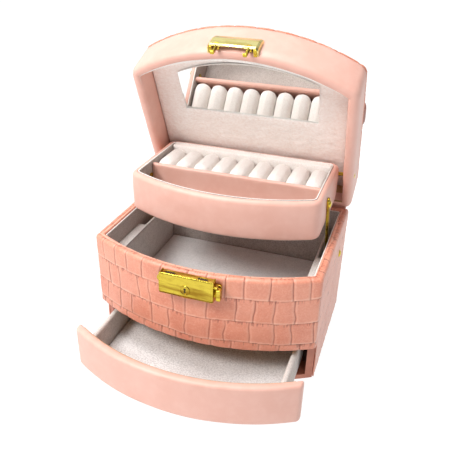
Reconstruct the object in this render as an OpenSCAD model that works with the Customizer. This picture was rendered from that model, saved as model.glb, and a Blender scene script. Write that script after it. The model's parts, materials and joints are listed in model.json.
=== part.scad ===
/* [Case] */
// Overall width of the chest
case_w = 175; // [150:1:200]
// Front-to-back depth of the straight side walls
side_depth = 116; // [106:1:130]
// How far the curved front bulges past the side walls
front_bow = 24; // [16:1:30]
// Height of the case, from the resting plane to the rim
case_h = 95; // [90:1:110]
// Height of the lid
lid_h = 35; // [34:1:42]
// Height of the drawer bay, measured from the resting plane
bay_h = 35.5; // [30:0.5:40]
// Thickness of the wall boards
board_t = 5; // [4:0.5:5]
// Thickness of leather and velvet-covered card skins
skin_t = 1; // [0.8:0.1:1]

/* [Pose at rest] */
// Opening angle of the lid
lid_open = 67; // [40:1:72]
// How far the drawer is pulled out
drawer_out = 40; // [0:1:80]

/* [Tray] */
// Outside width of the lift-up tray
tray_w = 151; // [140:1:152]
// Outside height of the tray
tray_h = 31; // [28:1:31]
// Front-to-back depth of the tray's straight side walls
tray_side_depth = 79.5; // [70:0.5:80]
// Bulge of the tray's curved front
tray_bow = 19.5; // [12:0.5:22]
// Number of ring rolls side by side
roll_count = 9; // [6:1:11]

/* [Linkage] */
// Lid pivot, behind-to-front and up from the hinge line with the lid closed
lid_pivot = [-30, 9.5];
// Case pivot, from the hinge line
case_pivot = [-34, -25.2];
// Height of the tray's front rivet above its rear pivot
front_rivet_rise = -5; // [-8:0.5:-2]
// Radius of the pivot pins and rivets
pin_r = 1.5; // [1.2:0.1:1.8]

/* [Hardware] */
// Width of the lock case
lock_w = 40; // [34:1:46]
// Height of the lock case
lock_h = 16; // [13:1:18]
// Radius of the lock's key plug
plug_r = 3.5; // [2.5:0.1:4]
// Width of the leather handle strap
strap_w = 17; // [12:1:22]

/* [Hidden] */
$fn = 48;
arc_fn = 240; // smoothness of the large bowed fronts
eps = 0.02;

leather = "#eebfa8";
croc = "#e39a80";
velvet = "#b9b0a8";
board = "#c9a87a";
gold = "#d9c24a";
cream = "#f6f0e8";

// hinge line of the lid: back top edge of the case
hinge = [side_depth / 2, case_h];
half_w = case_w / 2;
wall_t = skin_t + board_t;
liner_in = wall_t + skin_t;
back_in = side_depth / 2 - wall_t;
inner_half = half_w - wall_t;

// An outline is [half width, rear y, bow centre y, bow radius, front corner radius, rear corner radius]
function bow_radius(half, bow) = (half * half + bow * bow) / (2 * bow);
function outline(half, rear, depth, bow, front_r, rear_r) =
    [half, rear, rear - depth - bow + bow_radius(half, bow), bow_radius(half, bow), front_r, rear_r];
case_plan = outline(half_w, side_depth / 2, side_depth, front_bow, 3, 2);
lid_plan = outline(half_w, side_depth / 2, side_depth, front_bow, 8, 3);
bow_y = case_plan[2];
bow_r = case_plan[3];
apex_y = bow_y - bow_r;
// y of the bowed front, set in by t, at a given x
function front_y(x, t = 0) = bow_y - sqrt((bow_r - t) * (bow_r - t) - x * x);

// base of the case
bottom_t = 4;
deck_t = 4;
deck_top = bay_h + deck_t;
rim_top = case_h - skin_t;
leather_foot = 0.4;
bay_front_in = 7.8;
floor_pad_t = 2.5;
hinge_strip_h = 9;
hinge_bead_r = 0.85;

// covers over the side links, and the links themselves
cover_in = 72.5;
cover_t = 1.8;
cover_top = case_h - 17;
slot_end_y = -2;
arm_x = 76.3;
arm_t = 1.2;
arm_w = 5;
arm_slot = 3.2;
bore_r = pin_r + 0.05;
head_r = 2.9;
dome_h = 1.3;
dome_r = 3.2;

// linkage geometry in the side plane, each point [y, z] from the hinge line
function turned(p, a) = [p[0] * cos(a) + p[1] * sin(a), -p[0] * sin(a) + p[1] * cos(a)];
lid_pivot_open = turned(lid_pivot, lid_open);
lift = lid_pivot_open - lid_pivot;
pivot_sum = lid_pivot_open + lid_pivot - 2 * case_pivot;
// run that puts the front rivet equally far from the case pivot with the lid open and closed
front_rivet_run = -(lift[0] * pivot_sum[0] + lift[1] * (pivot_sum[1] + 2 * front_rivet_rise))
    / (2 * lift[0]);
rivet_open = lid_pivot_open + [front_rivet_run, front_rivet_rise];
arm_vec = rivet_open - case_pivot;
arm_len = norm(arm_vec);
arm_tilt = atan2(-arm_vec[0], arm_vec[1]);
lid_pivot_abs = hinge + lid_pivot;
lid_pivot_open_abs = hinge + lid_pivot_open;
case_pivot_abs = hinge + case_pivot;
rivet_abs = hinge + rivet_open;

// tray in its lifted place
tray_rear = hinge[0] + 2;
tray_top = case_h + 38.5;
tray_base = tray_top - tray_h;
tray_plan = outline(tray_w / 2, tray_rear, tray_side_depth, tray_bow, 10, 8);
tray_board_t = 3;
tray_wall = skin_t + tray_board_t;
tray_in = tray_wall + skin_t;
tray_floor = tray_base + skin_t + tray_board_t;
tray_pad_t = 2;
divider_y = 7.9;
divider_t = 4;
divider_top = tray_top - 2.5;
roll_space = tray_w - 2 * tray_in - 0.6;
roll_pitch = roll_space / roll_count;
roll_gap = 0.3;
roll_top = tray_top - 1.5;
strip_t = 4.5;

// lid, drawn closed and turned about the hinge line
lid_gap = 0.4;
lid_foot = case_h + lid_gap;
lid_back_t = 5;
lining_z = case_h + 20;
lining_t = 1.5;
mirror_t = 2;
mirror_half = 57;
mirror_low = hinge[0] - 69;
mirror_side = hinge[0] - 105;
mirror_rise = 13;
mirror_arc_r = bow_radius(mirror_half, mirror_rise);
lid_board_z = lining_z + lining_t + mirror_t + 0.5;
lid_board_t = 4;
lid_top = case_h + lid_h;
lid_skin_z = lid_top - 2;
croc_skirt = 5;
handle_y = hinge[0] - 63;
strap_t = 3.2;
strap_bend_r = 10;
strap_half = 79;
strap_foot_in = 62;

// lock and hasp
lock_top = case_h - 0.2;
lock_foot = lock_top - lock_h;
plate_front = apex_y - 1.6;
lock_front = plate_front - 7.4;
sheet_t = 1;
hook_x = 12;
hook_slot = [7.4, 3.6];
hook_y = lock_front + 3.7;
plug_z = lock_foot + lock_h * 0.45;
slide_z = plug_z + plug_r + 1;
slide_t = 1.6;
thumb_x = lock_w / 2 + 1.9;
lock_pin_r = 0.9;
lock_pin_x = 15;
hasp_w = 38;
hasp_h = 17;
hasp_front = apex_y - 7;

// drawer, drawn closed and pulled forward
drawer_front_t = 6.5;
drawer_low = 0.8;
drawer_high = bay_h - 0.7;
drawer_half = 75.8;
drawer_wall = 4.3;
drawer_base = bottom_t + 0.6;
drawer_side_top = 30;
drawer_rear = 48;
drawer_sheet = 2.5;
drawer_pad_t = 2;
guide_len = 90;

// ---- shared shapes ----

// Outline with rounded corners, set in by t
module plan(p, t = 0) {
    half = p[0] - t;
    rear = p[1] - t;
    r = p[3] - t;
    fr = max(p[4] - t, 0.2);
    rr = max(p[5] - t, 0.2);
    fy = p[2] - sqrt((r - fr) * (r - fr) - (half - fr) * (half - fr));
    touch = [(half - fr) * r / (r - fr), p[2] + (fy - p[2]) * r / (r - fr)];
    low = p[2] - r - 1;
    difference() {
        intersection() {
            translate([-half, low]) square([2 * half, rear - low]);
            translate([0, p[2]]) circle(r = r, $fn = arc_fn);
        }
        for (side = [-1, 1]) {
            polygon([[side * (half - fr), fy], [side * (half + 1), fy], [side * (half + 1), low],
                [side * touch[0], low], [side * touch[0], touch[1]]]);
            translate([side * (half - rr / 2 + 0.5), rear - rr / 2 + 0.5])
                square([rr + 1, rr + 1], center = true);
        }
    }
    for (side = [-1, 1]) {
        translate([side * (half - fr), fy]) circle(r = fr);
        translate([side * (half - rr), rear - rr]) circle(r = rr);
    }
}

// Ring between two insets of an outline, from z0 to z1
module shell(p, t0, t1, z0, z1) {
    translate([0, 0, z0]) linear_extrude(z1 - z0) difference() {
        plan(p, t0);
        plan(p, t1);
    }
}

// Solid slab of an outline
module slab(p, t, z0, z1) {
    translate([0, 0, z0]) linear_extrude(z1 - z0) plan(p, t);
}

// Box given by its low and high corners
module block(low, high) {
    translate(low) cube(high - low);
}

// Block whose front is trimmed to the bow, set in by t
module bowed_block(low, high, t) {
    intersection() {
        block(low, high);
        translate([0, bow_y, low[2] - 1]) cylinder(r = bow_r - t, h = high[2] - low[2] + 2, $fn = arc_fn);
    }
}

// Space in front of the drawer bay, which the walls stay out of
module bay_mouth() {
    difference() {
        block([-half_w - 1, apex_y - 5, -1], [half_w + 1, 0, bay_h]);
        translate([0, bow_y, -2]) cylinder(r = bow_r - bay_front_in, h = bay_h + 3, $fn = arc_fn);
    }
}

// Everything in front of a y, between two x, over the full height
module front_zone(half, y) {
    block([-half, apex_y - 10, -1], [half, y, case_h + lid_h + 10]);
}

// Mirror image for left-hand pieces; side is 1 for right and -1 for left
module handed(side) {
    if (side > 0) children(); else mirror([1, 0, 0]) children();
}

// Cylinder along X from x0 to x1 through the side-plane point at
module rod_x(at, r, x0, x1) {
    translate([x0, at[0], at[1]]) rotate([0, 90, 0]) cylinder(r = r, h = x1 - x0);
}

// Low domed rivet head on the outside of a side wall
module dome_x(at, x) {
    translate([x, at[0], at[1]]) rotate([0, 90, 0]) rotate_extrude()
        polygon([[0, 0], [dome_r, 0], [dome_r, 0.4], [dome_r * 0.8, 0.9], [dome_r * 0.4, 1.2], [0, dome_h]]);
}

// Puts a piece that is drawn on the closed lid into the lid's resting place
module on_lid() {
    translate([0, hinge[0], hinge[1]]) rotate([-lid_open, 0, 0])
        translate([0, -hinge[0], -hinge[1]]) children();
}

// Puts a piece of the closed drawer where the drawer rests
module on_drawer() {
    translate([0, -drawer_out, 0]) children();
}

// ---- case ----

module case_bottom_board() {
    color(board) bowed_block([-inner_half, apex_y, 0], [inner_half, back_in, bottom_t], bay_front_in);
}

module case_back_board() {
    color(board) intersection() {
        block([-half_w, back_in, 0], [half_w, back_in + board_t, rim_top]);
        slab(case_plan, skin_t, 0, rim_top);
    }
}

module case_side_board() {
    color(board) difference() {
        intersection() {
            shell(case_plan, skin_t, wall_t, 0, rim_top);
            block([inner_half, apex_y, -1], [half_w, back_in, case_h]);
        }
        bay_mouth();
        rod_x(case_pivot_abs, bore_r, inner_half - 1, half_w);
    }
}

module case_side_board_left() { handed(-1) case_side_board(); }
module case_side_board_right() { handed(1) case_side_board(); }

module case_front_board() {
    color(board) difference() {
        intersection() {
            shell(case_plan, skin_t, wall_t, bay_h, rim_top);
            front_zone(inner_half, 0);
        }
        lock_pin_holes();
    }
}

module case_deck_board() {
    color(board) bowed_block([-inner_half, apex_y, bay_h], [inner_half, back_in, deck_top], wall_t);
}

module case_cover_leather() {
    color(croc) difference() {
        union() {
            shell(case_plan, 0, skin_t, leather_foot, rim_top);
            shell(case_plan, 0, wall_t, rim_top, case_h);
        }
        // the back panel is a separate skin
        block([-half_w, back_in + board_t, 0], [half_w, side_depth, case_h + 1]);
        bay_mouth();
        for (side = [-1, 1]) handed(side) rod_x(case_pivot_abs, bore_r, half_w - 2, half_w + 1);
        lock_pin_holes();
    }
}

module case_back_leather() {
    color(croc) block([-half_w + 2, back_in + board_t, leather_foot],
        [half_w - 2, side_depth / 2, case_h - hinge_strip_h]);
}

module hinge_strip() {
    color(leather) {
        block([-half_w + 2, back_in + board_t, case_h - hinge_strip_h],
            [half_w - 2, side_depth / 2, case_h - 0.4]);
        translate([-half_w + 3, hinge[0], hinge[1]]) rotate([0, 90, 0])
            cylinder(r = hinge_bead_r, h = case_w - 6);
    }
}

module well_liner_side() {
    color(velvet) difference() {
        intersection() {
            shell(case_plan, wall_t, liner_in, deck_top, case_h - 0.5);
            block([inner_half - skin_t, apex_y, 0], [inner_half, back_in - skin_t, case_h]);
        }
        rod_x(case_pivot_abs, bore_r, inner_half - 3, inner_half + 1);
    }
}

module well_liner_left() { handed(-1) well_liner_side(); }
module well_liner_right() { handed(1) well_liner_side(); }

module well_liner_back() {
    color(velvet) block([-inner_half + skin_t, back_in - skin_t, deck_top],
        [inner_half - skin_t, back_in, case_h - 0.5]);
}

module well_liner_front() {
    color(velvet) difference() {
        intersection() {
            shell(case_plan, wall_t, liner_in, deck_top, case_h - 0.5);
            front_zone(inner_half - skin_t, 0);
        }
        lock_pin_holes();
    }
}

module well_floor_pad() {
    half = cover_in - 0.4;
    color("#cfcac8") bowed_block([-half, apex_y, deck_top],
        [half, back_in - skin_t - 0.3, deck_top + floor_pad_t], liner_in + 0.3);
}

// L-shaped cover that hides a link, with the slot that the link swings in
module link_cover() {
    front_in = liner_in + 0.2;
    color(velvet) {
        bowed_block([cover_in, apex_y, deck_top],
            [cover_in + cover_t, back_in - skin_t - 0.2, cover_top], front_in);
        bowed_block([cover_in, apex_y, cover_top - cover_t],
            [half_w - front_in, slot_end_y, cover_top], front_in);
    }
}

module link_cover_left() { handed(-1) link_cover(); }
module link_cover_right() { handed(1) link_cover(); }

module drawer_guide() {
    color("#5b4a42") block([drawer_half + 0.6, back_in - guide_len, bottom_t], [inner_half, back_in, 14]);
}

module drawer_guide_left() { handed(-1) drawer_guide(); }
module drawer_guide_right() { handed(1) drawer_guide(); }

// ---- lock, on the middle of the front ----

// Holes for the two pins that hold the lock to the front wall
module lock_pin_holes() {
    for (side = [-1, 1]) translate([side * lock_pin_x, apex_y + 12, lock_foot + 3.2])
        rotate([90, 0, 0]) cylinder(r = lock_pin_r + 0.05, h = 16);
}

module lock_back_plate() {
    color(gold) difference() {
        union() {
            block([-lock_w / 2, plate_front, lock_foot], [lock_w / 2 + 5, apex_y + 1.6, lock_top - 1]);
            translate([-lock_w / 2, plate_front, lock_foot + 9]) rotate([-90, 0, 0])
                cylinder(r = 4, h = 3.2);
        }
        translate([0, bow_y, 0]) cylinder(r = bow_r, h = case_h, $fn = arc_fn);
        lock_pin_holes();
    }
}

// Side profile of the lock case, [y, z], with bevelled front edges
function lock_profile(t) = [
    [plate_front, lock_foot + t], [lock_front + 3 + t * 0.4, lock_foot + t],
    [lock_front + t, lock_foot + 3 + t * 0.4], [lock_front + t, lock_top - 3.5],
    [lock_front + 0.8 + t, lock_top - (t > 0 ? -1 : 0)], [plate_front, lock_top - (t > 0 ? -1 : 0)]
];

module lock_body(t, half) {
    translate([-half, 0, 0]) rotate([90, 0, 90]) linear_extrude(2 * half) polygon(lock_profile(t));
}

module lock_case() {
    color(gold) difference() {
        union() {
            difference() {
                lock_body(0, lock_w / 2);
                lock_body(sheet_t, lock_w / 2 - sheet_t);
            }
            // sunk top plate
            intersection() {
                lock_body(0.1, lock_w / 2 - 0.2);
                block([-lock_w / 2, lock_front, lock_top - 2.4], [lock_w / 2, plate_front, lock_top - 1.4]);
            }
        }
        for (side = [-1, 1]) translate([side * hook_x - 0.5, hook_y, lock_top - 2])
            cube([hook_slot[0], hook_slot[1], 4], center = true);
        translate([0, lock_front + 2, plug_z]) rotate([90, 0, 0]) cylinder(r = plug_r + 0.05, h = 4);
        // way out for the slide, on the right
        block([lock_w / 2 - 2, hook_y - 3, slide_z - 0.4],
            [lock_w / 2 + 1, hook_y + 3, slide_z + slide_t + 0.4]);
    }
}

module lock_pins() {
    color(gold) for (side = [-1, 1]) {
        translate([side * lock_pin_x, apex_y + 8.5, lock_foot + 3.2]) rotate([90, 0, 0])
            cylinder(r = lock_pin_r, h = 10.2);
        translate([side * lock_pin_x, plate_front - 0.05, lock_foot + 3.2]) rotate([90, 0, 0])
            cylinder(r = 1.6, h = 0.7);
    }
}

module latch_slide() {
    color(gold) {
        difference() {
            block([-hook_x - 3.2, hook_y - 2.3, slide_z],
                [thumb_x, hook_y + 2.3, slide_z + slide_t]);
            for (side = [-1, 1]) translate([side * hook_x + 0.9, hook_y, slide_z])
                cube([7.2, 3.4, 3 * slide_t], center = true);
        }
        // thumb piece
        difference() {
            block([thumb_x, plate_front - 6.4, lock_foot + 2],
                [thumb_x + 3.6, plate_front - 0.3, lock_foot + 12]);
            translate([thumb_x + 3.6, plate_front - 6.4, lock_foot]) rotate([0, 0, 45])
                cube([1.6, 1.6, 30], center = true);
        }
    }
}

// Return spring, shown as the turns of a small coil at the free end of the slide
module latch_spring() {
    spring_x = -lock_w / 2 + sheet_t + 0.15;
    color("silver") for (k = [0:2])
        translate([spring_x + k * 0.62, hook_y, slide_z + slide_t / 2]) rotate([0, 90, 0]) difference() {
            cylinder(r = 1, h = 0.5);
            translate([0, 0, -1]) cylinder(r = 0.6, h = 3);
        }
}

module lock_plug() {
    color(gold) difference() {
        translate([0, plate_front - 1.2, plug_z]) rotate([90, 0, 0])
            cylinder(r = plug_r, h = plate_front - 1.2 - lock_front + 0.7);
        for (side = [-1, 1]) translate([0, lock_front + 2.5, plug_z + side * 1.6]) rotate([90, 0, 0])
            cylinder(r = 0.8, h = 5);
    }
}

// ---- links that carry the tray ----

module link_rivet_case() {
    color(gold) {
        rod_x(case_pivot_abs, pin_r, arm_x - 0.5, half_w);
        rod_x(case_pivot_abs, 2.6, arm_x - 1.1, arm_x - 0.2);
        rod_x(case_pivot_abs, 2.3, arm_x + arm_t + 0.2, half_w - liner_in - eps);
        dome_x(case_pivot_abs, half_w);
    }
}

module link_rivet_case_left() { handed(-1) link_rivet_case(); }
module link_rivet_case_right() { handed(1) link_rivet_case(); }

// Flat link from the case to the tray; its upper eye is a slot
module link_arm() {
    color(gold) translate([arm_x, case_pivot_abs[0], case_pivot_abs[1]]) rotate([arm_tilt, 0, 0])
        difference() {
            union() {
                rod_x([0, 0], arm_w / 2, 0, arm_t);
                rod_x([0, arm_len + arm_slot], arm_w / 2, 0, arm_t);
                block([0, -arm_w / 2 + 0.7, 0], [arm_t, arm_w / 2 - 0.7, arm_len - 4]);
                block([0, -arm_w / 2, arm_len - 4], [arm_t, arm_w / 2, arm_len + arm_slot]);
            }
            rod_x([0, 0], bore_r, -1, arm_t + 1);
            rod_x([0, arm_len], bore_r, -1, arm_t + 1);
            rod_x([0, arm_len + arm_slot], bore_r, -1, arm_t + 1);
            block([-1, -bore_r, arm_len], [arm_t + 1, bore_r, arm_len + arm_slot]);
        }
}

module link_arm_left() { handed(-1) link_arm(); }
module link_arm_right() { handed(1) link_arm(); }

// ---- lid ----

module lid_side_board() {
    color(board) on_lid() difference() {
        intersection() {
            shell(lid_plan, skin_t, wall_t, lid_foot + skin_t, lid_skin_z);
            block([inner_half, apex_y, 0], [half_w, hinge[0] - lid_back_t, lid_top]);
        }
        rod_x(lid_pivot_abs, bore_r, inner_half - 1, half_w);
    }
}

module lid_side_board_left() { handed(-1) lid_side_board(); }
module lid_side_board_right() { handed(1) lid_side_board(); }

module lid_front_board() {
    color(board) on_lid() intersection() {
        shell(lid_plan, skin_t, wall_t, lid_foot + skin_t, lid_skin_z);
        front_zone(inner_half, 0);
    }
}

module lid_back_board() {
    color(board) on_lid() block([-half_w + 3, hinge[0] - lid_back_t, lid_foot + skin_t],
        [half_w - 3, hinge[0] - skin_t, lid_skin_z]);
}

module lid_top_board() {
    color(board) on_lid() intersection() {
        slab(lid_plan, wall_t + 0.1, lid_board_z, lid_board_z + lid_board_t);
        block([-inner_half + 0.1, apex_y, 0], [inner_half - 0.1, hinge[0] - lid_back_t - 0.1, lid_top]);
    }
}

module lid_top_foam() {
    color("#efe6d8") on_lid() intersection() {
        slab(lid_plan, wall_t + 0.2, lid_board_z + lid_board_t, lid_skin_z);
        block([-inner_half + 0.2, apex_y, 0], [inner_half - 0.2, hinge[0] - lid_back_t - 0.2, lid_top]);
    }
}

module lid_band_leather() {
    color(leather) on_lid() difference() {
        union() {
            shell(lid_plan, 0, skin_t, lid_foot, lid_top - croc_skirt);
            shell(lid_plan, 0, wall_t, lid_foot, lid_foot + skin_t);
            difference() {
                shell(lid_plan, wall_t, liner_in, lid_foot, lining_z);
                block([-half_w, hinge[0] - 12, 0], [half_w, hinge[0] + 1, lid_top]);
            }
        }
        // the tray swings close inside the back wall, so no leather folds in there
        block([-half_w + 4, hinge[0] - wall_t - 1, lid_foot - 1],
            [half_w - 4, hinge[0] - lid_back_t, lid_foot + skin_t + 1]);
        // room for the rounded fold of the hinge strip
        block([-half_w + 2, hinge[0] - 1.4, lid_foot - 1], [half_w - 2, hinge[0] + 1, lid_foot + skin_t]);
        for (side = [-1, 1]) handed(side) rod_x(lid_pivot_abs, bore_r, inner_half - 3, half_w + 1);
    }
}

module lid_top_leather() {
    color(croc) on_lid() {
        slab(lid_plan, 0, lid_skin_z, lid_top);
        shell(lid_plan, 0, skin_t, lid_top - croc_skirt, lid_skin_z);
    }
}

// Arched outline of the mirror, set in by t
module mirror_outline(t) {
    half = mirror_half - t;
    intersection() {
        translate([-half, mirror_side - mirror_rise - 1])
            square([2 * half, mirror_low - mirror_side + mirror_rise + 1 - t]);
        translate([0, mirror_side - mirror_rise + mirror_arc_r]) circle(r = mirror_arc_r - t, $fn = arc_fn);
    }
}

module lid_lining_panel() {
    color(velvet) on_lid() difference() {
        intersection() {
            slab(lid_plan, liner_in + 0.2, lining_z, lining_z + lining_t);
            block([-half_w, apex_y, 0], [half_w, hinge[0] - lid_back_t - 0.2, lid_top]);
        }
        translate([0, 0, lining_z - 1]) linear_extrude(lining_t + 2) mirror_outline(0);
    }
}

module mirror_glass() {
    color("lightcyan") on_lid() translate([0, 0, lining_z + lining_t + 0.1])
        linear_extrude(mirror_t) mirror_outline(-3);
}

module hasp_plate() {
    top = lid_foot + 0.6 + hasp_h;
    low = lid_foot + 0.6;
    profile = [[apex_y + 1.6, low], [hasp_front + 0.8, low], [hasp_front, low + 3.5],
        [hasp_front, top - 3], [hasp_front + 3, top], [apex_y + 1.6, top]];
    inner = [[apex_y + 2, low - 1], [hasp_front + 1.8, low - 1], [hasp_front + 1, low + 3.5],
        [hasp_front + 1, top - 3.4], [hasp_front + 3.4, top - 1], [apex_y + 2, top - 1]];
    color(gold) on_lid() {
        difference() {
            translate([-hasp_w / 2, 0, 0]) rotate([90, 0, 90]) linear_extrude(hasp_w) polygon(profile);
            translate([-hasp_w / 2 + 1, 0, 0]) rotate([90, 0, 90]) linear_extrude(hasp_w - 2) polygon(inner);
            translate([0, bow_y, 0]) cylinder(r = bow_r, h = case_h + lid_h, $fn = arc_fn);
        }
        difference() {
            for (side = [-1, 1]) translate([side * hook_x, 0, 0]) {
                block([-0.8, hook_y - 1.2, slide_z - 0.5], [0.8, hook_y + 1.2, top - 1.2]);
                block([-0.8, hook_y - 1.2, low + 4], [0.8, apex_y + 1.6, top - 0.5]);
                block([-2, hook_y - 1.2, slide_z - 1.5], [0.8, hook_y + 1.2, slide_z - 0.3]);
            }
            translate([0, bow_y, 0]) cylinder(r = bow_r, h = case_h + lid_h, $fn = arc_fn);
        }
    }
}

module lid_pivot_pin() {
    color(gold) on_lid() {
        rod_x(lid_pivot_abs, pin_r, tray_w / 2 - tray_wall + 0.4, half_w);
        dome_x(lid_pivot_abs, half_w);
    }
}

module lid_pivot_pin_left() { handed(-1) lid_pivot_pin(); }
module lid_pivot_pin_right() { handed(1) lid_pivot_pin(); }

// Long loop, as two bends and the straight between them
module strap_loop(r) {
    for (side = [-1, 1]) translate([side * strap_half, strap_bend_r]) circle(r = r);
    translate([-strap_half, strap_bend_r - r]) square([2 * strap_half, 2 * r]);
}

module handle_strap() {
    color(leather) on_lid() translate([0, handle_y + strap_w / 2, lid_top]) rotate([90, 0, 0])
        linear_extrude(strap_w) difference() {
            strap_loop(strap_bend_r);
            strap_loop(strap_bend_r - strap_t);
            translate([-strap_foot_in, -1]) square([2 * strap_foot_in, strap_bend_r]);
        }
}

// ---- tray ----

// Bores for the pins and rivets in the tray's side walls
module tray_bores() {
    for (side = [-1, 1]) handed(side) {
        rod_x(lid_pivot_open_abs, bore_r, tray_w / 2 - tray_wall - 0.2, tray_w / 2 + 1);
        rod_x(rivet_abs, bore_r, tray_w / 2 - tray_in - 1, tray_w / 2 + 1);
    }
}

module tray_frame() {
    color(board) difference() {
        shell(tray_plan, skin_t, tray_wall, tray_base + skin_t, tray_top - skin_t);
        tray_bores();
    }
}

module tray_bottom_board() {
    color(board) slab(tray_plan, tray_wall, tray_base + skin_t, tray_floor);
}

module tray_leather() {
    color(leather) difference() {
        union() {
            shell(tray_plan, 0, skin_t, tray_base, tray_top);
            slab(tray_plan, 0, tray_base, tray_base + skin_t);
            shell(tray_plan, 0, tray_wall, tray_top - skin_t, tray_top);
        }
        tray_bores();
    }
}

module tray_liner() {
    color(velvet) difference() {
        shell(tray_plan, tray_wall, tray_in, tray_floor, tray_top - 0.3);
        for (side = [-1, 1]) handed(side)
            rod_x(rivet_abs, bore_r, tray_w / 2 - tray_in - 1, tray_w / 2);
    }
}

module tray_floor_pad() {
    color("#d8d0ca") intersection() {
        slab(tray_plan, tray_in + 0.2, tray_floor, tray_floor + tray_pad_t);
        block([-half_w, apex_y, 0], [half_w, divider_y - 0.2, tray_top]);
    }
}

module tray_divider() {
    half = tray_w / 2 - tray_in - 0.15;
    color(leather) {
        block([-half, divider_y, tray_floor], [half, divider_y + divider_t, divider_top - divider_t / 2]);
        translate([-half, divider_y + divider_t / 2, divider_top - divider_t / 2]) rotate([0, 90, 0])
            cylinder(r = divider_t / 2, h = 2 * half);
    }
}

module ring_rolls() {
    roll_r = (roll_pitch - roll_gap) / 2;
    front = divider_y + divider_t + 0.2;
    back = tray_rear - tray_in - strip_t - 0.4;
    color(cream) for (k = [0:roll_count - 1])
        translate([-roll_space / 2 + (k + 0.5) * roll_pitch, 0, 0]) {
            block([-roll_r, front, tray_floor + 0.1], [roll_r, back, roll_top - roll_r]);
            translate([0, back, roll_top - roll_r]) rotate([90, 0, 0]) cylinder(r = roll_r, h = back - front);
        }
}

module ring_back_strip() {
    half = tray_w / 2 - tray_in - 4;
    color(cream) block([-half, tray_rear - tray_in - strip_t - 0.2, tray_floor + 0.1],
        [half, tray_rear - tray_in - 0.2, roll_top]);
}

module link_rivet_tray() {
    color(gold) {
        rod_x(rivet_abs, pin_r, tray_w / 2 - tray_in - 0.5, arm_x + arm_t + 0.3);
        rod_x(rivet_abs, 2.5, tray_w / 2 - tray_in - 1.1, tray_w / 2 - tray_in - 0.2);
        translate([arm_x + arm_t + 0.2, rivet_abs[0], rivet_abs[1]]) rotate([0, 90, 0]) rotate_extrude()
            polygon([[0, 0], [head_r, 0], [head_r, 0.3], [head_r * 0.7, 0.8], [0, 1.1]]);
    }
}

module link_rivet_tray_left() { handed(-1) link_rivet_tray(); }
module link_rivet_tray_right() { handed(1) link_rivet_tray(); }

// ---- drawer ----

module drawer_front_board() {
    color(board) on_drawer() intersection() {
        shell(case_plan, skin_t, drawer_front_t, drawer_low + skin_t, drawer_high - skin_t);
        front_zone(half_w - skin_t, front_y(half_w) + 4);
    }
}

module drawer_front_leather() {
    color(leather) on_drawer() difference() {
        intersection() {
            shell(case_plan, 0, drawer_front_t, drawer_low, drawer_high);
            front_zone(half_w, front_y(half_w) + 5);
        }
        intersection() {
            shell(case_plan, skin_t, drawer_front_t + 1, drawer_low + skin_t, drawer_high - skin_t);
            front_zone(half_w - skin_t, front_y(half_w) + 4);
        }
    }
}

module drawer_side() {
    color(velvet) on_drawer() bowed_block([drawer_half - drawer_wall, apex_y, drawer_base],
        [drawer_half, drawer_rear, drawer_side_top], drawer_front_t + 0.1);
}

module drawer_side_left() { handed(-1) drawer_side(); }
module drawer_side_right() { handed(1) drawer_side(); }

module drawer_back() {
    inner = drawer_half - drawer_wall;
    color(velvet) on_drawer() block([-inner, drawer_rear - drawer_wall, drawer_base],
        [inner, drawer_rear, drawer_side_top]);
}

module drawer_bottom() {
    inner = drawer_half - drawer_wall;
    color(board) on_drawer() bowed_block([-inner, apex_y, drawer_base],
        [inner, drawer_rear - drawer_wall, drawer_base + drawer_sheet], drawer_front_t + 0.1);
}

module drawer_floor_pad() {
    inner = drawer_half - drawer_wall - 0.3;
    low = drawer_base + drawer_sheet;
    color("#d2ccc8") on_drawer() bowed_block([-inner, apex_y, low],
        [inner, drawer_rear - drawer_wall - 0.3, low + drawer_pad_t], drawer_front_t + 0.4);
}

case_bottom_board();
case_back_board();
case_side_board_left();
case_side_board_right();
case_front_board();
case_deck_board();
case_cover_leather();
case_back_leather();
hinge_strip();
well_liner_left();
well_liner_right();
well_liner_back();
well_liner_front();
well_floor_pad();
link_cover_left();
link_cover_right();
drawer_guide_left();
drawer_guide_right();
lock_back_plate();
lock_case();
lock_pins();
link_rivet_case_left();
link_rivet_case_right();
latch_slide();
latch_spring();
lock_plug();
link_arm_left();
link_arm_right();
lid_top_board();
lid_top_foam();
lid_side_board_left();
lid_side_board_right();
lid_front_board();
lid_back_board();
lid_band_leather();
lid_top_leather();
lid_lining_panel();
mirror_glass();
hasp_plate();
lid_pivot_pin_left();
lid_pivot_pin_right();
handle_strap();
tray_frame();
tray_bottom_board();
tray_leather();
tray_divider();
tray_liner();
tray_floor_pad();
ring_rolls();
ring_back_strip();
link_rivet_tray_left();
link_rivet_tray_right();
drawer_front_board();
drawer_front_leather();
drawer_side_left();
drawer_side_right();
drawer_back();
drawer_bottom();
drawer_floor_pad();
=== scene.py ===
"""Bow-fronted jewellery chest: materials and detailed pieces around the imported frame."""

import json
import math

import bmesh
import bpy
import numpy as np
from mathutils import Matrix, Vector


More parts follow.
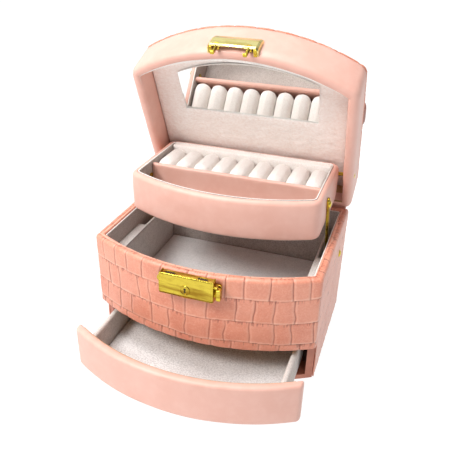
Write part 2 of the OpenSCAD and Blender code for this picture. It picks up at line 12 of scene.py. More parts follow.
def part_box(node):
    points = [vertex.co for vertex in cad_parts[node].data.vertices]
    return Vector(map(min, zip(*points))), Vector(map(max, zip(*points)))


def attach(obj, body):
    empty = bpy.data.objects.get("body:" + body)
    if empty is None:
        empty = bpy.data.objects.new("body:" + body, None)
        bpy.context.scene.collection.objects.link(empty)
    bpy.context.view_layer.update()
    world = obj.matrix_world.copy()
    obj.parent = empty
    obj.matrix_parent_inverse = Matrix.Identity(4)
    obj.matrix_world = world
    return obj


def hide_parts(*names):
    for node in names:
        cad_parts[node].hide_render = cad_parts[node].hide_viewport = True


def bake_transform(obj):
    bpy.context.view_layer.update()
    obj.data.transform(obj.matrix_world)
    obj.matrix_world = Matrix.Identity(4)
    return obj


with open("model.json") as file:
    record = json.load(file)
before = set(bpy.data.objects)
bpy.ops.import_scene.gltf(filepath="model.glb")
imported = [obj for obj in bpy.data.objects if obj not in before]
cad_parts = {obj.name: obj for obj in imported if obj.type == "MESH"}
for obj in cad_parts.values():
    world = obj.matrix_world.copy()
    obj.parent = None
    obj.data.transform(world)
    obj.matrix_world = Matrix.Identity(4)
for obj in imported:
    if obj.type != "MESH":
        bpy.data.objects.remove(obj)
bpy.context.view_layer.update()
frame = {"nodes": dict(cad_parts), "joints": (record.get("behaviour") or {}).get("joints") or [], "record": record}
MM = 0.001
NODES = frame["nodes"]
SCENE = bpy.context.scene

# ---- sizes, in millimetres


def box_mm(node):
    low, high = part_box(node)
    return np.array(low) / MM, np.array(high) / MM


def joint(name):
    return next(j for j in frame["joints"] if j["name"] == name)


COVER_LOW, COVER_HIGH = box_mm("case_cover_leather")
HALF_W = COVER_HIGH[0]
APEX_Y = COVER_LOW[1]
CASE_H = COVER_HIGH[2]
REAR_Y = box_mm("case_back_leather")[1][1]
BAY_H = box_mm("case_front_board")[0][2]
FRONT_BOW = 24.0
SKIN_T = 1.0
WALL_T = 6.0
LINER_IN = WALL_T + SKIN_T
HINGE_Y, HINGE_Z = (v / MM for v in joint("lid_hinge")["pos_m"][1:])
LID_OPEN = math.radians(joint("lid_hinge")["range_deg"][1])
DRAWER_OUT = -joint("drawer_slide")["range_m"][0] / MM
LID_H = 35.0
LID_TOP = CASE_H + LID_H
LID_FOOT = CASE_H + 0.4
LINING_Z = CASE_H + 20.0
LID_SEAM = 2.4
BAND_SWELL = 1.3
HASP_SHIFT = -1.5
RIM_BELOW_CASE = 1.3  # how far the well liners stop below the rim
SIDES = ((-1, "left"), (1, "right"))


# ---- small numeric tools


def smooth(edge0, edge1, x):
    t = np.clip((x - edge0) / (edge1 - edge0), 0.0, 1.0)
    return t * t * (3.0 - 2.0 * t)


def hashed(ix, iy, seed):
    """Repeatable values in 0..1 for integer lattice points."""
    n = ix.astype(np.int64) * 374761393 + iy.astype(np.int64) * 668265263 + seed * 974634777
    n = (n ^ (n >> 13)) * 1274126177
    n = n ^ (n >> 16)
    return (n & 0xFFFFFF) / float(0xFFFFFF)


def noise(x, y, seed=0):
    """Smooth value noise from -1 to 1, one cell per unit."""
    ix, iy = np.floor(x), np.floor(y)
    fx, fy = smooth(0, 1, x - ix), smooth(0, 1, y - iy)
    a, b = hashed(ix, iy, seed), hashed(ix + 1, iy, seed)
    c, d = hashed(ix, iy + 1, seed), hashed(ix + 1, iy + 1, seed)
    return 2.0 * ((a + (b - a) * fx) * (1 - fy) + (c + (d - c) * fx) * fy) - 1.0


def layered(x, y, seed=0, octaves=3):
    total, size = np.zeros_like(x), 1.0
    for k in range(octaves):
        total += noise(x / size, y / size, seed + 17 * k) * size
        size *= 0.5
    return total


def arc(centre, radius, start, end, count=6):
    """Points of a round corner in a profile, each (inset, z); angles in degrees."""
    angles = np.radians(np.linspace(start, end, count))
    return [(centre[0] + radius * math.cos(a), centre[1] + radius * math.sin(a)) for a in angles]


def line(a, b, step):
    """Points from a to b without a itself."""
    count = max(1, int(round(math.dist(a, b) / step)))
    return [
        (a[0] + (b[0] - a[0]) * k / count, a[1] + (b[1] - a[1]) * k / count) for k in range(1, count + 1)
    ]


# ---- the bowed outline


class Plan:
    """Rounded outline with a straight rear and sides and a bowed front."""

    def __init__(self, half, rear, centre_y, radius, front_r, rear_r, step=1.0):
        self.half, self.rear, self.cy, self.r = half, rear, centre_y, radius
        self.fr, self.rr, self.step = front_r, rear_r, step
        lengths = self._sections(0.0)[1]
        steps = step if isinstance(step, tuple) else (step,) * 9
        self.counts = [max(3, int(round(n / each))) for n, each in zip(lengths, steps)]
        self.s, self.part = self._measure()

    def _sections(self, t):
        half, rear, r = self.half - t, self.rear - t, self.r - t
        fr, rr = max(self.fr - t, 0.35), max(self.rr - t, 0.35)
        fy = self.cy - math.sqrt((r - fr) ** 2 - (half - fr) ** 2)
        swing = math.atan2(half - fr, self.cy - fy)
        quarter = math.pi / 2
        parts = [
            ("line", (0, rear), (-(half - rr), rear)),
            ("arc", (-(half - rr), rear - rr), rr, quarter, 2 * quarter),
            ("line", (-half, rear - rr), (-half, fy)),
            ("arc", (-(half - fr), fy), fr, 2 * quarter, 3 * quarter - swing),
            ("arc", (0, self.cy), r, 3 * quarter - swing, 3 * quarter + swing),
            ("arc", (half - fr, fy), fr, 3 * quarter + swing, 4 * quarter),
            ("line", (half, fy), (half, rear - rr)),
            ("arc", (half - rr, rear - rr), rr, 4 * quarter, 5 * quarter),
            ("line", (half - rr, rear), (0, rear)),
        ]
        lengths = [math.dist(p[1], p[2]) if p[0] == "line" else p[2] * abs(p[4] - p[3]) for p in parts]
        return parts, lengths

    def loop(self, t):
        """Points of the outline set in by t, anticlockwise from the middle of the rear."""
        points = []
        for part, count in zip(self._sections(t)[0], self.counts):
            f = np.arange(count) / count
            if part[0] == "line":
                a, b = np.array(part[1]), np.array(part[2])
                points.append(a + (b - a) * f[:, None])
            else:
                angle = part[3] + (part[4] - part[3]) * f
                ring = np.stack([np.cos(angle), np.sin(angle)], 1) * part[2]
                points.append(np.array(part[1]) + ring)
        return np.concatenate(points)

    def _measure(self):
        p = self.loop(0.0)
        step = np.linalg.norm(np.roll(p, -1, 0) - p, axis=1)
        part = np.repeat(np.arange(len(self.counts)), self.counts)
        return np.concatenate([[0.0], np.cumsum(step)[:-1]]), part

    def normals(self):
        p = self.loop(0.0)
        along = np.roll(p, -1, 0) - np.roll(p, 1, 0)
        out = np.stack([along[:, 1], -along[:, 0]], 1)
        return out / np.linalg.norm(out, axis=1)[:, None]

    def columns(self, *parts):
        """Columns of these sections, with the first one of the next section added."""
        found = np.nonzero(np.isin(self.part, parts))[0]
        return np.append(found, (found[-1] + 1) % len(self.part))

    def front(self, x, t=0.0):
        return self.cy - np.sqrt((self.r - t) ** 2 - np.asarray(x, float) ** 2)


def bow_radius(half, bow):
    return (half * half + bow * bow) / (2 * bow)


BOW_R = bow_radius(HALF_W, FRONT_BOW)
BOW_CY = APEX_Y + BOW_R
FINE_FRONT = (1.1, 0.6, 0.75, 0.5, 0.5, 0.5, 0.75, 0.6, 1.1)
CASE_PLAN = Plan(HALF_W, REAR_Y, BOW_CY, BOW_R, 3.0, 2.0, FINE_FRONT)
LID_BOW = 26.0
LID_R = bow_radius(HALF_W, LID_BOW)
LID_CY = APEX_Y + FRONT_BOW - LID_BOW + LID_R
LID_PLAN = Plan(HALF_W, REAR_Y, LID_CY, LID_R, 8.0, 3.0, 0.85)
TRAY_LOW, TRAY_HIGH = box_mm("tray_leather")
TRAY_HALF, TRAY_REAR, TRAY_BOW = TRAY_HIGH[0], TRAY_HIGH[1], 19.5
TRAY_R = bow_radius(TRAY_HALF, TRAY_BOW)
TRAY_PLAN = Plan(TRAY_HALF, TRAY_REAR, TRAY_LOW[1] + TRAY_R, TRAY_R, 10.0, 8.0, 1.0)


# ---- making pieces


def on_lid(points):
    """Places points of the closed lid where the lid rests."""
    p = np.array(points, float)
    y, z = p[:, 1] - HINGE_Y, p[:, 2] - HINGE_Z
    c, s = math.cos(LID_OPEN), math.sin(LID_OPEN)
    return np.stack([p[:, 0], HINGE_Y + y * c + z * s, HINGE_Z - y * s + z * c], 1)


def on_drawer(points):
    return np.array(points, float) - [0.0, DRAWER_OUT, 0.0]


def piece(name, verts, faces, body, material, slot, replaces=(), place=None, values=None, smooth_faces=True):
    """Makes one mesh object from millimetre points, riding on a body."""
    points = place(verts) if place else np.array(verts, float)
    mesh = bpy.data.meshes.new(name)
    mesh.from_pydata((points * MM).tolist(), [], [list(map(int, f)) for f in faces])
    mesh.update()
    for key, data in (values or {}).items():
        mesh.attributes.new(key, "FLOAT", "POINT").data.foreach_set("value", np.asarray(data, np.float32))
    for one in material if isinstance(material, (list, tuple)) else [material]:
        mesh.materials.append(one)
    if smooth_faces:
        mesh.polygons.foreach_set("use_smooth", [True] * len(mesh.polygons))
    obj = bpy.data.objects.new(name, mesh)
    SCENE.collection.objects.link(obj)
    if body:
        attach(obj, body)
    if replaces:
        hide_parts(*([replaces] if isinstance(replaces, str) else replaces))
    return obj


def grid_faces(rows, cols, wrap_cols=True, keep=None):
    """Quads of a grid whose points run along columns first."""
    j, i = np.meshgrid(np.arange(rows - 1), np.arange(cols if wrap_cols else cols - 1), indexing="ij")
    n = (i + 1) % cols
    quads = np.stack([j * cols + i, j * cols + n, (j + 1) * cols + n, (j + 1) * cols + i], -1)
    quads = quads.reshape(-1, 4)
    return quads if keep is None else quads[keep(j.reshape(-1), i.reshape(-1))]


def sheet(
    name, grid, body, material, slot, replaces=(), place=None, wrap=True, keep=None, turned=False, **more
):
    """Makes a piece from a grid of points; turned faces look the other way."""
    faces = grid_faces(*grid.shape[:2], wrap, keep)
    faces = faces[:, ::-1] if turned else faces
    return piece(name, grid.reshape(-1, 3), faces, body, material, slot, replaces, place, **more)


def tube_faces(rows, count):
    """Faces of a tube of rings, closed at both ends."""
    last = [(rows - 1) * count + k for k in range(count)]
    return grid_faces(rows, count).tolist() + [list(range(count)), last[::-1]]


def domed(points, rings, count, tip):
    """Rings of points closed by a fan of triangles to the tip."""
    last = (rings - 1) * count
    fan = [[last + k, last + (k + 1) % count, rings * count] for k in range(count)]
    return np.array(points + [tip]), grid_faces(rings, count).tolist() + fan


def wire_faces(count):
    """Faces of a closed loop of round wire with eight sides."""
    return [
        [i * 8 + j, ((i + 1) % count) * 8 + j, ((i + 1) % count) * 8 + (j + 1) % 8, i * 8 + (j + 1) % 8]
        for i in range(count) for j in range(8)
    ]


def skin_of(plan, profile, cols=None):
    """Grid of points of a profile of (inset, z) swept round the plan: (rows, columns, 3)."""
    rows = [np.column_stack([plan.loop(t), np.full(len(plan.s), z)]) for t, z in profile]
    grid = np.stack(rows)
    return grid if cols is None else grid[:, cols]


def grid_normals(grid):
    """Outward normals of a grid of points that closes along its rows."""
    along = np.roll(grid, -1, 1) - np.roll(grid, 1, 1)
    n = np.cross(along, np.gradient(grid, axis=0))
    return n / np.maximum(np.linalg.norm(n, axis=2), 1e-9)[:, :, None]


def path_length(profile):
    p = np.array(profile)
    return np.concatenate([[0.0], np.cumsum(np.linalg.norm(np.diff(p, axis=0), axis=1))])


def capped(grid, rings, at_end=True):
    """Adds rings that shrink the last (or first) row to its middle, ending in one tiny ring."""
    base = grid[-1] if at_end else grid[0]
    middle = base.mean(0)
    extra = np.stack([middle + (base - middle) * (1.0 - k / (rings + 0.02)) for k in range(1, rings + 1)])
    return np.concatenate([grid, extra]) if at_end else np.concatenate([extra[::-1], grid])


def over(values, grid):
    """Values spread over every point of a grid."""
    return np.broadcast_to(values, grid.shape[:2])


def solidify(obj, thickness, rim_material=None, offset=-1.0):
    mod = obj.modifiers.new("thickness", "SOLIDIFY")
    mod.thickness = thickness * MM
    mod.offset = offset
    mod.use_even_offset = True
    if rim_material is not None:
        mod.material_offset_rim = rim_material


def bevel(obj, width, segments=2, angle=35.0):
    mod = obj.modifiers.new("edges", "BEVEL")
    mod.width = width * MM
    mod.segments = segments
    mod.limit_method = "ANGLE"
    mod.angle_limit = math.radians(angle)


def axis_steps(low, high, r, step):
    """Positions along one axis of a rounded box, closer together at its round edges."""
    edge = [low, low + 0.13 * r, low + 0.5 * r, low + r]
    inner = np.linspace(low + r, high - r, max(2, int((high - low - 2 * r) / step) + 2))[1:-1]
    return np.array(edge + list(inner) + [high - r, high - 0.5 * r, high - 0.13 * r, high])


def rounded_box(low, high, r, step=3.0, radii=None):
    """Box with round edges of radius r, as (points, faces); radii gives a radius for each axis."""
    low, high = np.array(low, float), np.array(high, float)
    rad = np.array(radii if radii is not None else [r] * 3, float)
    rad = np.minimum(rad, (high - low) / 2 - 1e-3)
    axes = [axis_steps(low[k], high[k], rad[k], step) for k in range(3)]
    index, points, faces = {}, [], []

    def vertex(key):
        if key not in index:
            index[key] = len(points)
            p = np.array([axes[k][key[k]] for k in range(3)])
            inner = np.clip(p, low + rad, high - rad)
            d = (p - inner) / rad
            length = np.linalg.norm(d)
            biggest = np.abs(d).max()
            points.append(inner + d * rad * (biggest / length) if length > 1e-9 else p)
        return index[key]

    for k in range(3):
        u, v = (k + 1) % 3, (k + 2) % 3
        for end in (0, len(axes[k]) - 1):
            for a in range(len(axes[u]) - 1):
                for b in range(len(axes[v]) - 1):
                    corners = [(a, b), (a + 1, b), (a + 1, b + 1), (a, b + 1)]
                    keys = []
                    for ca, cb in corners if end else corners[::-1]:
                        key = [0, 0, 0]
                        key[k], key[u], key[v] = end, ca, cb
                        keys.append(vertex(tuple(key)))
                    faces.append(keys)
    return np.array(points), faces


def joined(*parts):
    """One (points, faces) pair from several."""
    points, faces, start = [], [], 0
    for p, f in parts:
        points.append(np.array(p))
        faces += [[i + start for i in face] for face in f]
        start += len(p)
    return np.concatenate(points), faces


# ---- materials


class Nodes:
    """Short names for building the nodes of a material or a world."""

    def __init__(self, name, kind="materials", shader="Principled BSDF", space="Object"):
        self.owner = getattr(bpy.data, kind).new(name)
        self.owner.use_nodes = True
        self.tree = self.owner.node_tree
        self.shader = self.tree.nodes[shader]
        self.place = self.add("ShaderNodeTexCoord").outputs[space]

    def add(self, kind, **settings):
        node = self.tree.nodes.new(kind)
        for key, value in settings.items():
            setattr(node, key, value)
        return node

    def link(self, a, b):
        self.tree.links.new(a, b)

    def stretched(self, scale):
        node = self.add("ShaderNodeMapping")
        node.inputs["Scale"].default_value = scale
        self.link(self.place, node.inputs["Vector"])
        return node.outputs[0]

    def noise(self, size_mm, detail=3.0, rough=0.5, vector=None):
        node = self.add("ShaderNodeTexNoise")
        node.inputs["Scale"].default_value = 1.0 / (size_mm * MM)
        node.inputs["Detail"].default_value = detail
        node.inputs["Roughness"].default_value = rough
        self.link(vector or self.place, node.inputs["Vector"])
        return node.outputs["Fac"]

    def cells(self, size_mm, feature="F1", output="Distance", vector=None):
        node = self.add("ShaderNodeTexVoronoi", feature=feature)
        node.inputs["Scale"].default_value = 1.0 / (size_mm * MM)
        self.link(vector or self.place, node.inputs["Vector"])
        return node.outputs[output]

    def ramp(self, fac, low, high, out_low=0.0, out_high=1.0):
        node = self.add("ShaderNodeMapRange")
        for key, value in zip(("From Min", "From Max", "To Min", "To Max"), (low, high, out_low, out_high)):
            node.inputs[key].default_value = value
        self.link(fac, node.inputs["Value"])
        return node.outputs["Result"]

    def attribute(self, name):
        return self.add("ShaderNodeAttribute", attribute_name=name).outputs["Fac"]

    def feed(self, socket, value):
        """Links another socket, or sets a number or a colour."""
        if isinstance(value, bpy.types.NodeSocket):
            self.link(value, socket)
        elif isinstance(value, tuple) and len(value) == 3:
            socket.default_value = (*value, 1.0)
        else:
            socket.default_value = value

    def mix(self, fac, a, b):
        node = self.add("ShaderNodeMix", data_type="RGBA")
        for index, value in ((0, fac), (6, a), (7, b)):
            self.feed(node.inputs[index], value)
        return node.outputs[2]

    def tint(self, tone, colour, fac, low, high, most=1.0):
        """Tone moved towards a colour as fac goes from low to high."""
        return self.mix(self.ramp(fac, low, high, 0.0, most), tone, colour)

    def math(self, kind, a, b=0.0):
        node = self.add("ShaderNodeMath", operation=kind)
        self.feed(node.inputs[0], a)
        self.feed(node.inputs[1], b)
        return node.outputs[0]

    def bump(self, height, depth_mm, strength=1.0, after=None):
        node = self.add("ShaderNodeBump")
        node.inputs["Distance"].default_value = depth_mm * MM
        node.inputs["Strength"].default_value = strength
        self.link(height, node.inputs["Height"])
        if after is not None:
            self.link(after, node.inputs["Normal"])
        return node.outputs[0]

    def set(self, **values):
        for key, value in values.items():
            self.feed(self.shader.inputs[key.replace("_", " ")], value)
        return self.owner


def srgb(r, g, b):
    """Linear colour from 8-bit screen values."""
    screen = (r / 255, g / 255, b / 255)
    return tuple(c / 12.92 if c <= 0.04045 else ((c + 0.055) / 1.055) ** 2.4 for c in screen)


def leather_material(name, colour, shade, light, rough=0.42):
    """Smooth fine-grained leather."""
    m = Nodes(name)
    patch = m.noise(7.0, 4.0, 0.6)
    tone = m.tint(shade, colour, m.noise(28.0, 3.0), 0.35, 0.65)
    tone = m.tint(tone, light, patch, 0.45, 0.8, 0.5)
    normal = m.bump(m.ramp(m.cells(0.75, "DISTANCE_TO_EDGE"), 0.0, 0.12), 0.035, 0.55)
    normal = m.bump(m.noise(0.32, 2.0), 0.03, 0.35, normal)
    normal = m.bump(m.noise(2.6, 3.0), 0.12, 0.25, normal)
    return m.set(
        Base_Color=tone, Roughness=m.ramp(patch, 0.3, 0.7, rough - 0.06, rough + 0.08), Normal=normal,
        Specular_IOR_Level=0.5, Coat_Weight=0.06, Coat_Roughness=0.3,
    )


def croc_material():
    """Embossed leather, tinted by the depth of its own relief: painted shade in its grooves and ticks, painted
    highlight on its ridges.
    """
    m = Nodes("croc_leather")
    fine = m.noise(1.3, 4.0, 0.65)
    base = m.tint(srgb(216, 132, 106), srgb(229, 148, 121), m.noise(16.0, 3.0), 0.35, 0.65)
    base = m.tint(base, srgb(235, 166, 142), m.attribute("tile"), 0.0, 1.0, 0.35)
    base = m.tint(base, srgb(244, 184, 158), fine, 0.45, 0.72, 0.5)
    # painted highlight: pale tint on the row ridges and on the tile edges beside the grooves
    base = m.mix(m.math("MULTIPLY", m.attribute("highlit_ridge"), 0.75), base, srgb(250, 203, 180))
    # painted shade: dark tint in the grooves and in the ticks below each row edge
    base = m.mix(m.math("MULTIPLY", m.attribute("crease_shade"), 0.95), base, srgb(142, 68, 50))
    normal = m.bump(m.noise(1.1, 5.0, 0.7, m.stretched((1.0, 1.0, 2.2))), 0.26, 0.7)
    normal = m.bump(m.ramp(m.cells(0.6, "DISTANCE_TO_EDGE"), 0.0, 0.1), 0.03, 0.4, normal)
    return m.set(
        Base_Color=base, Roughness=m.ramp(fine, 0.3, 0.7, 0.3, 0.46), Normal=normal,
        Specular_IOR_Level=0.55, Coat_Weight=0.18, Coat_Roughness=0.22,
    )


def velvet_material(name, dark, light, nap_mm=1.1, contrast=1.0, stretch=(1.0, 1.0, 1.0)):
    """Short pile, brushed in small patches that catch the light."""
    m = Nodes(name)
    where = m.stretched(stretch)
    nap = m.noise(nap_mm, 4.0, 0.7, where)
    spread = 0.17 / contrast
    pale = tuple(min(1.0, c * 1.35 + 0.04) for c in light)
    # painted sheen: nap patches go dark to light where the brushed pile would catch the light; the fine pale
    # speckles are painted glints
    tone = m.tint(dark, light, nap, 0.5 - spread, 0.5 + spread)
    tone = m.tint(tone, light, m.noise(nap_mm * 5, 3.0, 0.6, where), 0.4, 0.7, 0.35)
    tone = m.tint(tone, dark, m.noise(30.0, 2.0), 0.4, 0.7, 0.25)
    tone = m.tint(tone, pale, m.noise(0.45, 1.0), 0.62, 0.78, 0.55)
    normal = m.bump(m.noise(0.3, 2.0), 0.1, 0.5, m.bump(nap, 0.3, 0.7))
    return m.set(
        Base_Color=tone, Roughness=0.85, Normal=normal, Specular_IOR_Level=0.2, Sheen_Weight=0.55,
        Sheen_Roughness=0.4, Sheen_Tint=pale,
    )


def metal_material(name, colour, dark, rough):
    """Polished plate with hairlines, long soft streaks and slight tarnish."""
    m = Nodes(name)
    hair = m.noise(0.5, 2.0, 0.5, m.stretched((0.08, 1.0, 1.0)))
    streak = m.noise(5.5, 3.0, 0.55, m.stretched((0.16, 1.0, 1.0)))
    tone = m.tint(colour, dark, streak, 0.46, 0.68, 0.85)
    tone = m.tint(tone, dark, m.noise(5.0, 4.0, 0.6), 0.5, 0.8, 0.4)
    normal = m.bump(m.noise(5.0, 1.0), 0.35, 0.2, m.bump(hair, 0.02, 0.3))
    return m.set(
        Base_Color=tone, Metallic=1.0, Roughness=m.ramp(hair, 0.3, 0.7, rough, rough + 0.12), Normal=normal
    )


def plain_material(name, low, high, size_mm, rough, depth=0.1, stretch=(1, 1, 1)):
    """Card, board or foam with speckle."""
    m = Nodes(name)
    speck = m.noise(size_mm, 4.0, 0.65, m.stretched(stretch))
    return m.set(
        Base_Color=m.tint(low, high, speck, 0.35, 0.65), Roughness=rough,
        Normal=m.bump(speck, depth, 0.5), Specular_IOR_Level=0.3,
    )


def mirror_material():
    m = Nodes("mirror_glass")
    dust = m.noise(3.0, 4.0, 0.7)
    return m.set(
        Base_Color=m.tint(srgb(244, 247, 246), srgb(232, 238, 236), dust, 0.55, 0.8, 0.25),
        Metallic=1.0, Roughness=m.ramp(dust, 0.5, 0.9, 0.015, 0.05),
    )


SMOOTH = leather_material("smooth_leather", srgb(234, 184, 169), srgb(230, 177, 161), srgb(239, 194, 180))
CROC = croc_material()
EDGE_LEATHER = leather_material("edge_leather", srgb(196, 122, 98), srgb(172, 98, 78), srgb(214, 142, 118))
# darker copy of the smooth leather: painted shade for the handle strap
SHADED_STRAP_LEATHER = leather_material("shaded_strap_leather", srgb(176, 112, 94), srgb(150, 88, 72), srgb(198, 134, 114))
VELVET = velvet_material("velvet", srgb(160, 148, 141), srgb(204, 195, 190))
DRAWER_VELVET = velvet_material("drawer_velvet", srgb(200, 194, 193), srgb(244, 240, 239), 1.2, 1.6)
# far paler than the other velvet: painted light that makes up for the shade the tray casts on the well floor
LIT_WELL_VELVET = velvet_material("lit_well_velvet", srgb(224, 226, 226), srgb(251, 252, 252), 1.2, 1.2)
LEDGE_VELVET = velvet_material("ledge_velvet", srgb(186, 178, 172), srgb(228, 222, 217), 1.0, 1.1)
LINING_VELVET = velvet_material(
    "lining_velvet", srgb(240, 224, 215), srgb(254, 247, 242), 1.4, 1.1, (0.6, 1.0, 1.0)
)
CREAM = velvet_material("cream_velvet", srgb(240, 230, 224), srgb(254, 250, 246), 0.9, 0.9)
GOLD = metal_material("gold_metal", srgb(218, 194, 74), srgb(142, 102, 26), 0.1)
# paler copy of the gold for the hasp: painted light, so its faces read bright
LIT_HASP_GOLD = metal_material("lit_hasp_gold", srgb(246, 234, 160), srgb(218, 194, 96), 0.14)
STEEL = metal_material("spring_steel", srgb(200, 200, 202), srgb(150, 150, 152), 0.2)
MIRROR = mirror_material()
CARD = plain_material("card_edge", srgb(238, 230, 224), srgb(252, 248, 244), 0.8, 0.8)
BOARD = plain_material("board", srgb(176, 138, 96), srgb(204, 168, 124), 0.9, 0.85, 0.15, (1, 1, 3))
FOAM = plain_material("foam", srgb(226, 216, 198), srgb(244, 236, 220), 0.7, 0.95, 0.3)
GUIDE = plain_material("guide_wood", srgb(58, 40, 34), srgb(84, 62, 52), 2.0, 0.6, 0.1, (6, 1, 6))
# near-black, painted as the shade inside holes, slots and gaps
HOLE_SHADE = plain_material("hole_shade", srgb(34, 24, 12), srgb(58, 42, 20), 0.4, 0.5)
# near-black sheets standing in for the shade inside the drawer bay
BAY_SHADE = plain_material("bay_shade", srgb(20, 16, 15), srgb(34, 28, 26), 1.2, 0.9)

NODE_MATERIALS = {
    "croc_leather": CROC, "smooth_leather": SMOOTH, "velvet": VELVET, "cream_velvet": CREAM,
    "board": BOARD, "foam": FOAM, "guide_wood": GUIDE, "gold_metal": GOLD, "spring_steel": STEEL,
    "mirror_glass": MIRROR,
}
# boards whose own faces show: leather turned under the case, card inside the lid
BOARD_MATERIALS = {
    "case_bottom_board": EDGE_LEATHER, "case_side_board_left": EDGE_LEATHER,
    "case_side_board_right": EDGE_LEATHER, "lid_front_board": CARD,
    "lid_side_board_left": CARD, "lid_side_board_right": CARD,
}
LINK_EXTRA = 0.45


def dress_cad_nodes():
    """Gives every CAD node the material of its slot, with softened metal edges."""
    for row in frame["record"]["subparts"]:
        node = NODES[row["node"]]
        node.data.materials.clear()
        node.data.materials.append(
            BOARD_MATERIALS.get(row["node"], NODE_MATERIALS[row["material_slot"]])
        )
        if row["material_slot"] == "gold_metal":
            if row["node"].startswith("link_arm"):
                solidify(node, LINK_EXTRA, offset=1.0)
            bevel(node, 0.22)
        elif row["material_slot"] in ("board", "guide_wood"):
            bevel(node, 0.3, 1)


# ---- embossed relief

TILE_W, TILE_JITTER, TILE_CORNER, GROOVE_W = 15.5, 0.5, 2.2, 0.42
ROW_EDGES = [-20.0, -2.5, 16.5, 36.0, 54.0, 72.5, 91.0, 110.0]


def croc_relief(s, w, edges, seed):
    """Relief of the embossed tiles at along-distance s and row-distance w, both in mm.

    Returns the height in mm, how much each point takes the painted crease shade and the painted ridge highlight,
    and its tile tone.
    """
    wave = 1.1 * noise(s / 30.0, w / 60.0, seed) + 0.4 * noise(s / 9.0, w / 40.0, seed + 1)
    rows = np.interp(w + wave, edges, np.arange(len(edges)))
    row = np.floor(rows)
    v = rows - row
    tall = np.diff(edges + [edges[-1] + 18.0])[row.astype(int)]
    lean = hashed(row, np.floor(s / 40.0), seed + 3) - 0.5
    bend = 0.8 * noise(s / 6.0, w / 8.0, seed + 2) + 2.2 * lean * (v - 0.5)
    cols = (s + bend) / TILE_W + hashed(row, row * 0, seed + 4) * 3.0
    col = np.floor(cols)
    low = col + TILE_JITTER * (hashed(col, row, seed + 5) - 0.5)
    high = col + 1 + TILE_JITTER * (hashed(col + 1, row, seed + 5) - 0.5)
    before, after = cols < low, cols >= high
    cell = np.where(before, col - 1, np.where(after, col + 1, col))
    low = cell + TILE_JITTER * (hashed(cell, row, seed + 5) - 0.5)
    high = cell + 1 + TILE_JITTER * (hashed(cell + 1, row, seed + 5) - 0.5)
    du = np.minimum(cols - low, high - cols) * TILE_W
    dv_top, dv_low = v * tall, (1 - v) * tall
    dv = np.minimum(dv_top, dv_low)
    near_u, near_v = np.maximum(TILE_CORNER - du, 0), np.maximum(TILE_CORNER - dv, 0)
    rounded = TILE_CORNER - np.hypot(near_u, near_v)
    edge = np.where((near_u > 0) & (near_v > 0), rounded, np.minimum(du, dv))
    edge = np.maximum(edge, 0.0)
    faint = 0.55 + 0.45 * hashed(cell, row, seed + 6)
    groove_u = np.exp(-((du / GROOVE_W) ** 2)) * faint
    groove_v = np.exp(-((dv_top / GROOVE_W) ** 2))
    broken = 0.55 + 0.45 * smooth(-0.4, 0.5, noise(s / 5.0, row * 7.0, seed + 11))
    # raised ridge above each row edge; with the side gleams below it also drives a painted highlight
    highlit_ridge = np.exp(-(((dv_low - 0.9) / 0.6) ** 2)) * (0.7 + 0.3 * noise(s / 3.0, row * 3.0, seed + 8))
    hatch = 0.5 + 0.5 * noise(s / 0.8, row * 9.0, seed + 7)
    reach = 1.2 + 1.6 * hashed(np.floor(s / 0.8), row, seed + 12)
    hatched = smooth(reach + 0.5, reach - 0.5, dv_top) * smooth(0.58, 0.8, hatch)
    side = np.exp(-(((du - 1.1) / 0.7) ** 2)) * 0.3
    pillow = 1.0 - np.exp(-edge / 2.0)
    wrinkles = layered(s / 2.4, w / 1.4, seed + 9, 3)
    height = 0.32 * pillow - 0.4 * groove_u - 0.3 * groove_v * broken + 0.24 * highlit_ridge + 0.08 * side
    height += 0.075 * wrinkles - 0.12 * hatched
    # mask of painted shade for the grooves and ticks
    crease_shade = np.clip(groove_u + 0.8 * groove_v * broken + 0.55 * hatched, 0, 1)
    return height, crease_shade, np.clip(highlit_ridge + side, 0, 1), hashed(cell, row, seed + 10)


def croc_piece(name, grid, s, w, edges, place, body, replaces, keep=None, seed=3, rim=1.0):
    """Makes a skin raised by the relief; rim scales its height."""
    height, crease_shade, highlit_ridge, tile = croc_relief(s, w, edges, seed)
    moved = grid + grid_normals(grid) * (height * rim)[:, :, None]
    values = {"crease_shade": crease_shade.ravel(), "highlit_ridge": highlit_ridge.ravel(), "tile": tile.ravel()}
    return sheet(name, moved, body, CROC, "croc_leather", replaces, place, keep=keep, values=values)


def make_case_cover():
    """Embossed skin of the front, sides and back, wrapped over the rim."""
    rim_r, foot = 2.6, 0.7
    profile = [(0.0, foot)] + line((0.0, foot), (0.0, BAY_H), 0.6)
    profile += line((0.0, BAY_H), (0.0, CASE_H - rim_r), 0.55)
    rim_row = len(profile) - 1
    profile += arc((rim_r, CASE_H - rim_r), rim_r, 180, 90, 7)[1:]
    profile += line((rim_r, CASE_H), (WALL_T - 1.0, CASE_H), 0.6)
    profile += arc((WALL_T - 1.0, CASE_H - 1.0), 1.0, 90, 0, 4)[1:] + [(WALL_T, CASE_H - 3.0)]
    grid = skin_of(CASE_PLAN, profile)
    below_rim = path_length(profile)
    s = over(CASE_PLAN.s, grid)
    w = over((below_rim[rim_row] + 3.0 - below_rim)[:, None], grid)
    mouth = CASE_PLAN.front(HALF_W, 7.8)
    base = CASE_PLAN.loop(0.0)
    z = np.array([p[1] for p in profile])
    bay_row = int(np.argmin(np.abs(z - BAY_H)))

    def keep(j, i):
        return ~((j < bay_row) & (base[i, 1] < mouth))

    lip = 0.25 + 0.75 * smooth(WALL_T, 2.0, np.array([p[0] for p in profile]))[:, None]
    obj = croc_piece(
        "case_cover_leather_embossed", grid, s, w, ROW_EDGES, None, "case",
        ("case_cover_leather", "case_back_leather"), keep, rim=over(lip, grid),
    )
    solidify(obj, 0.95)


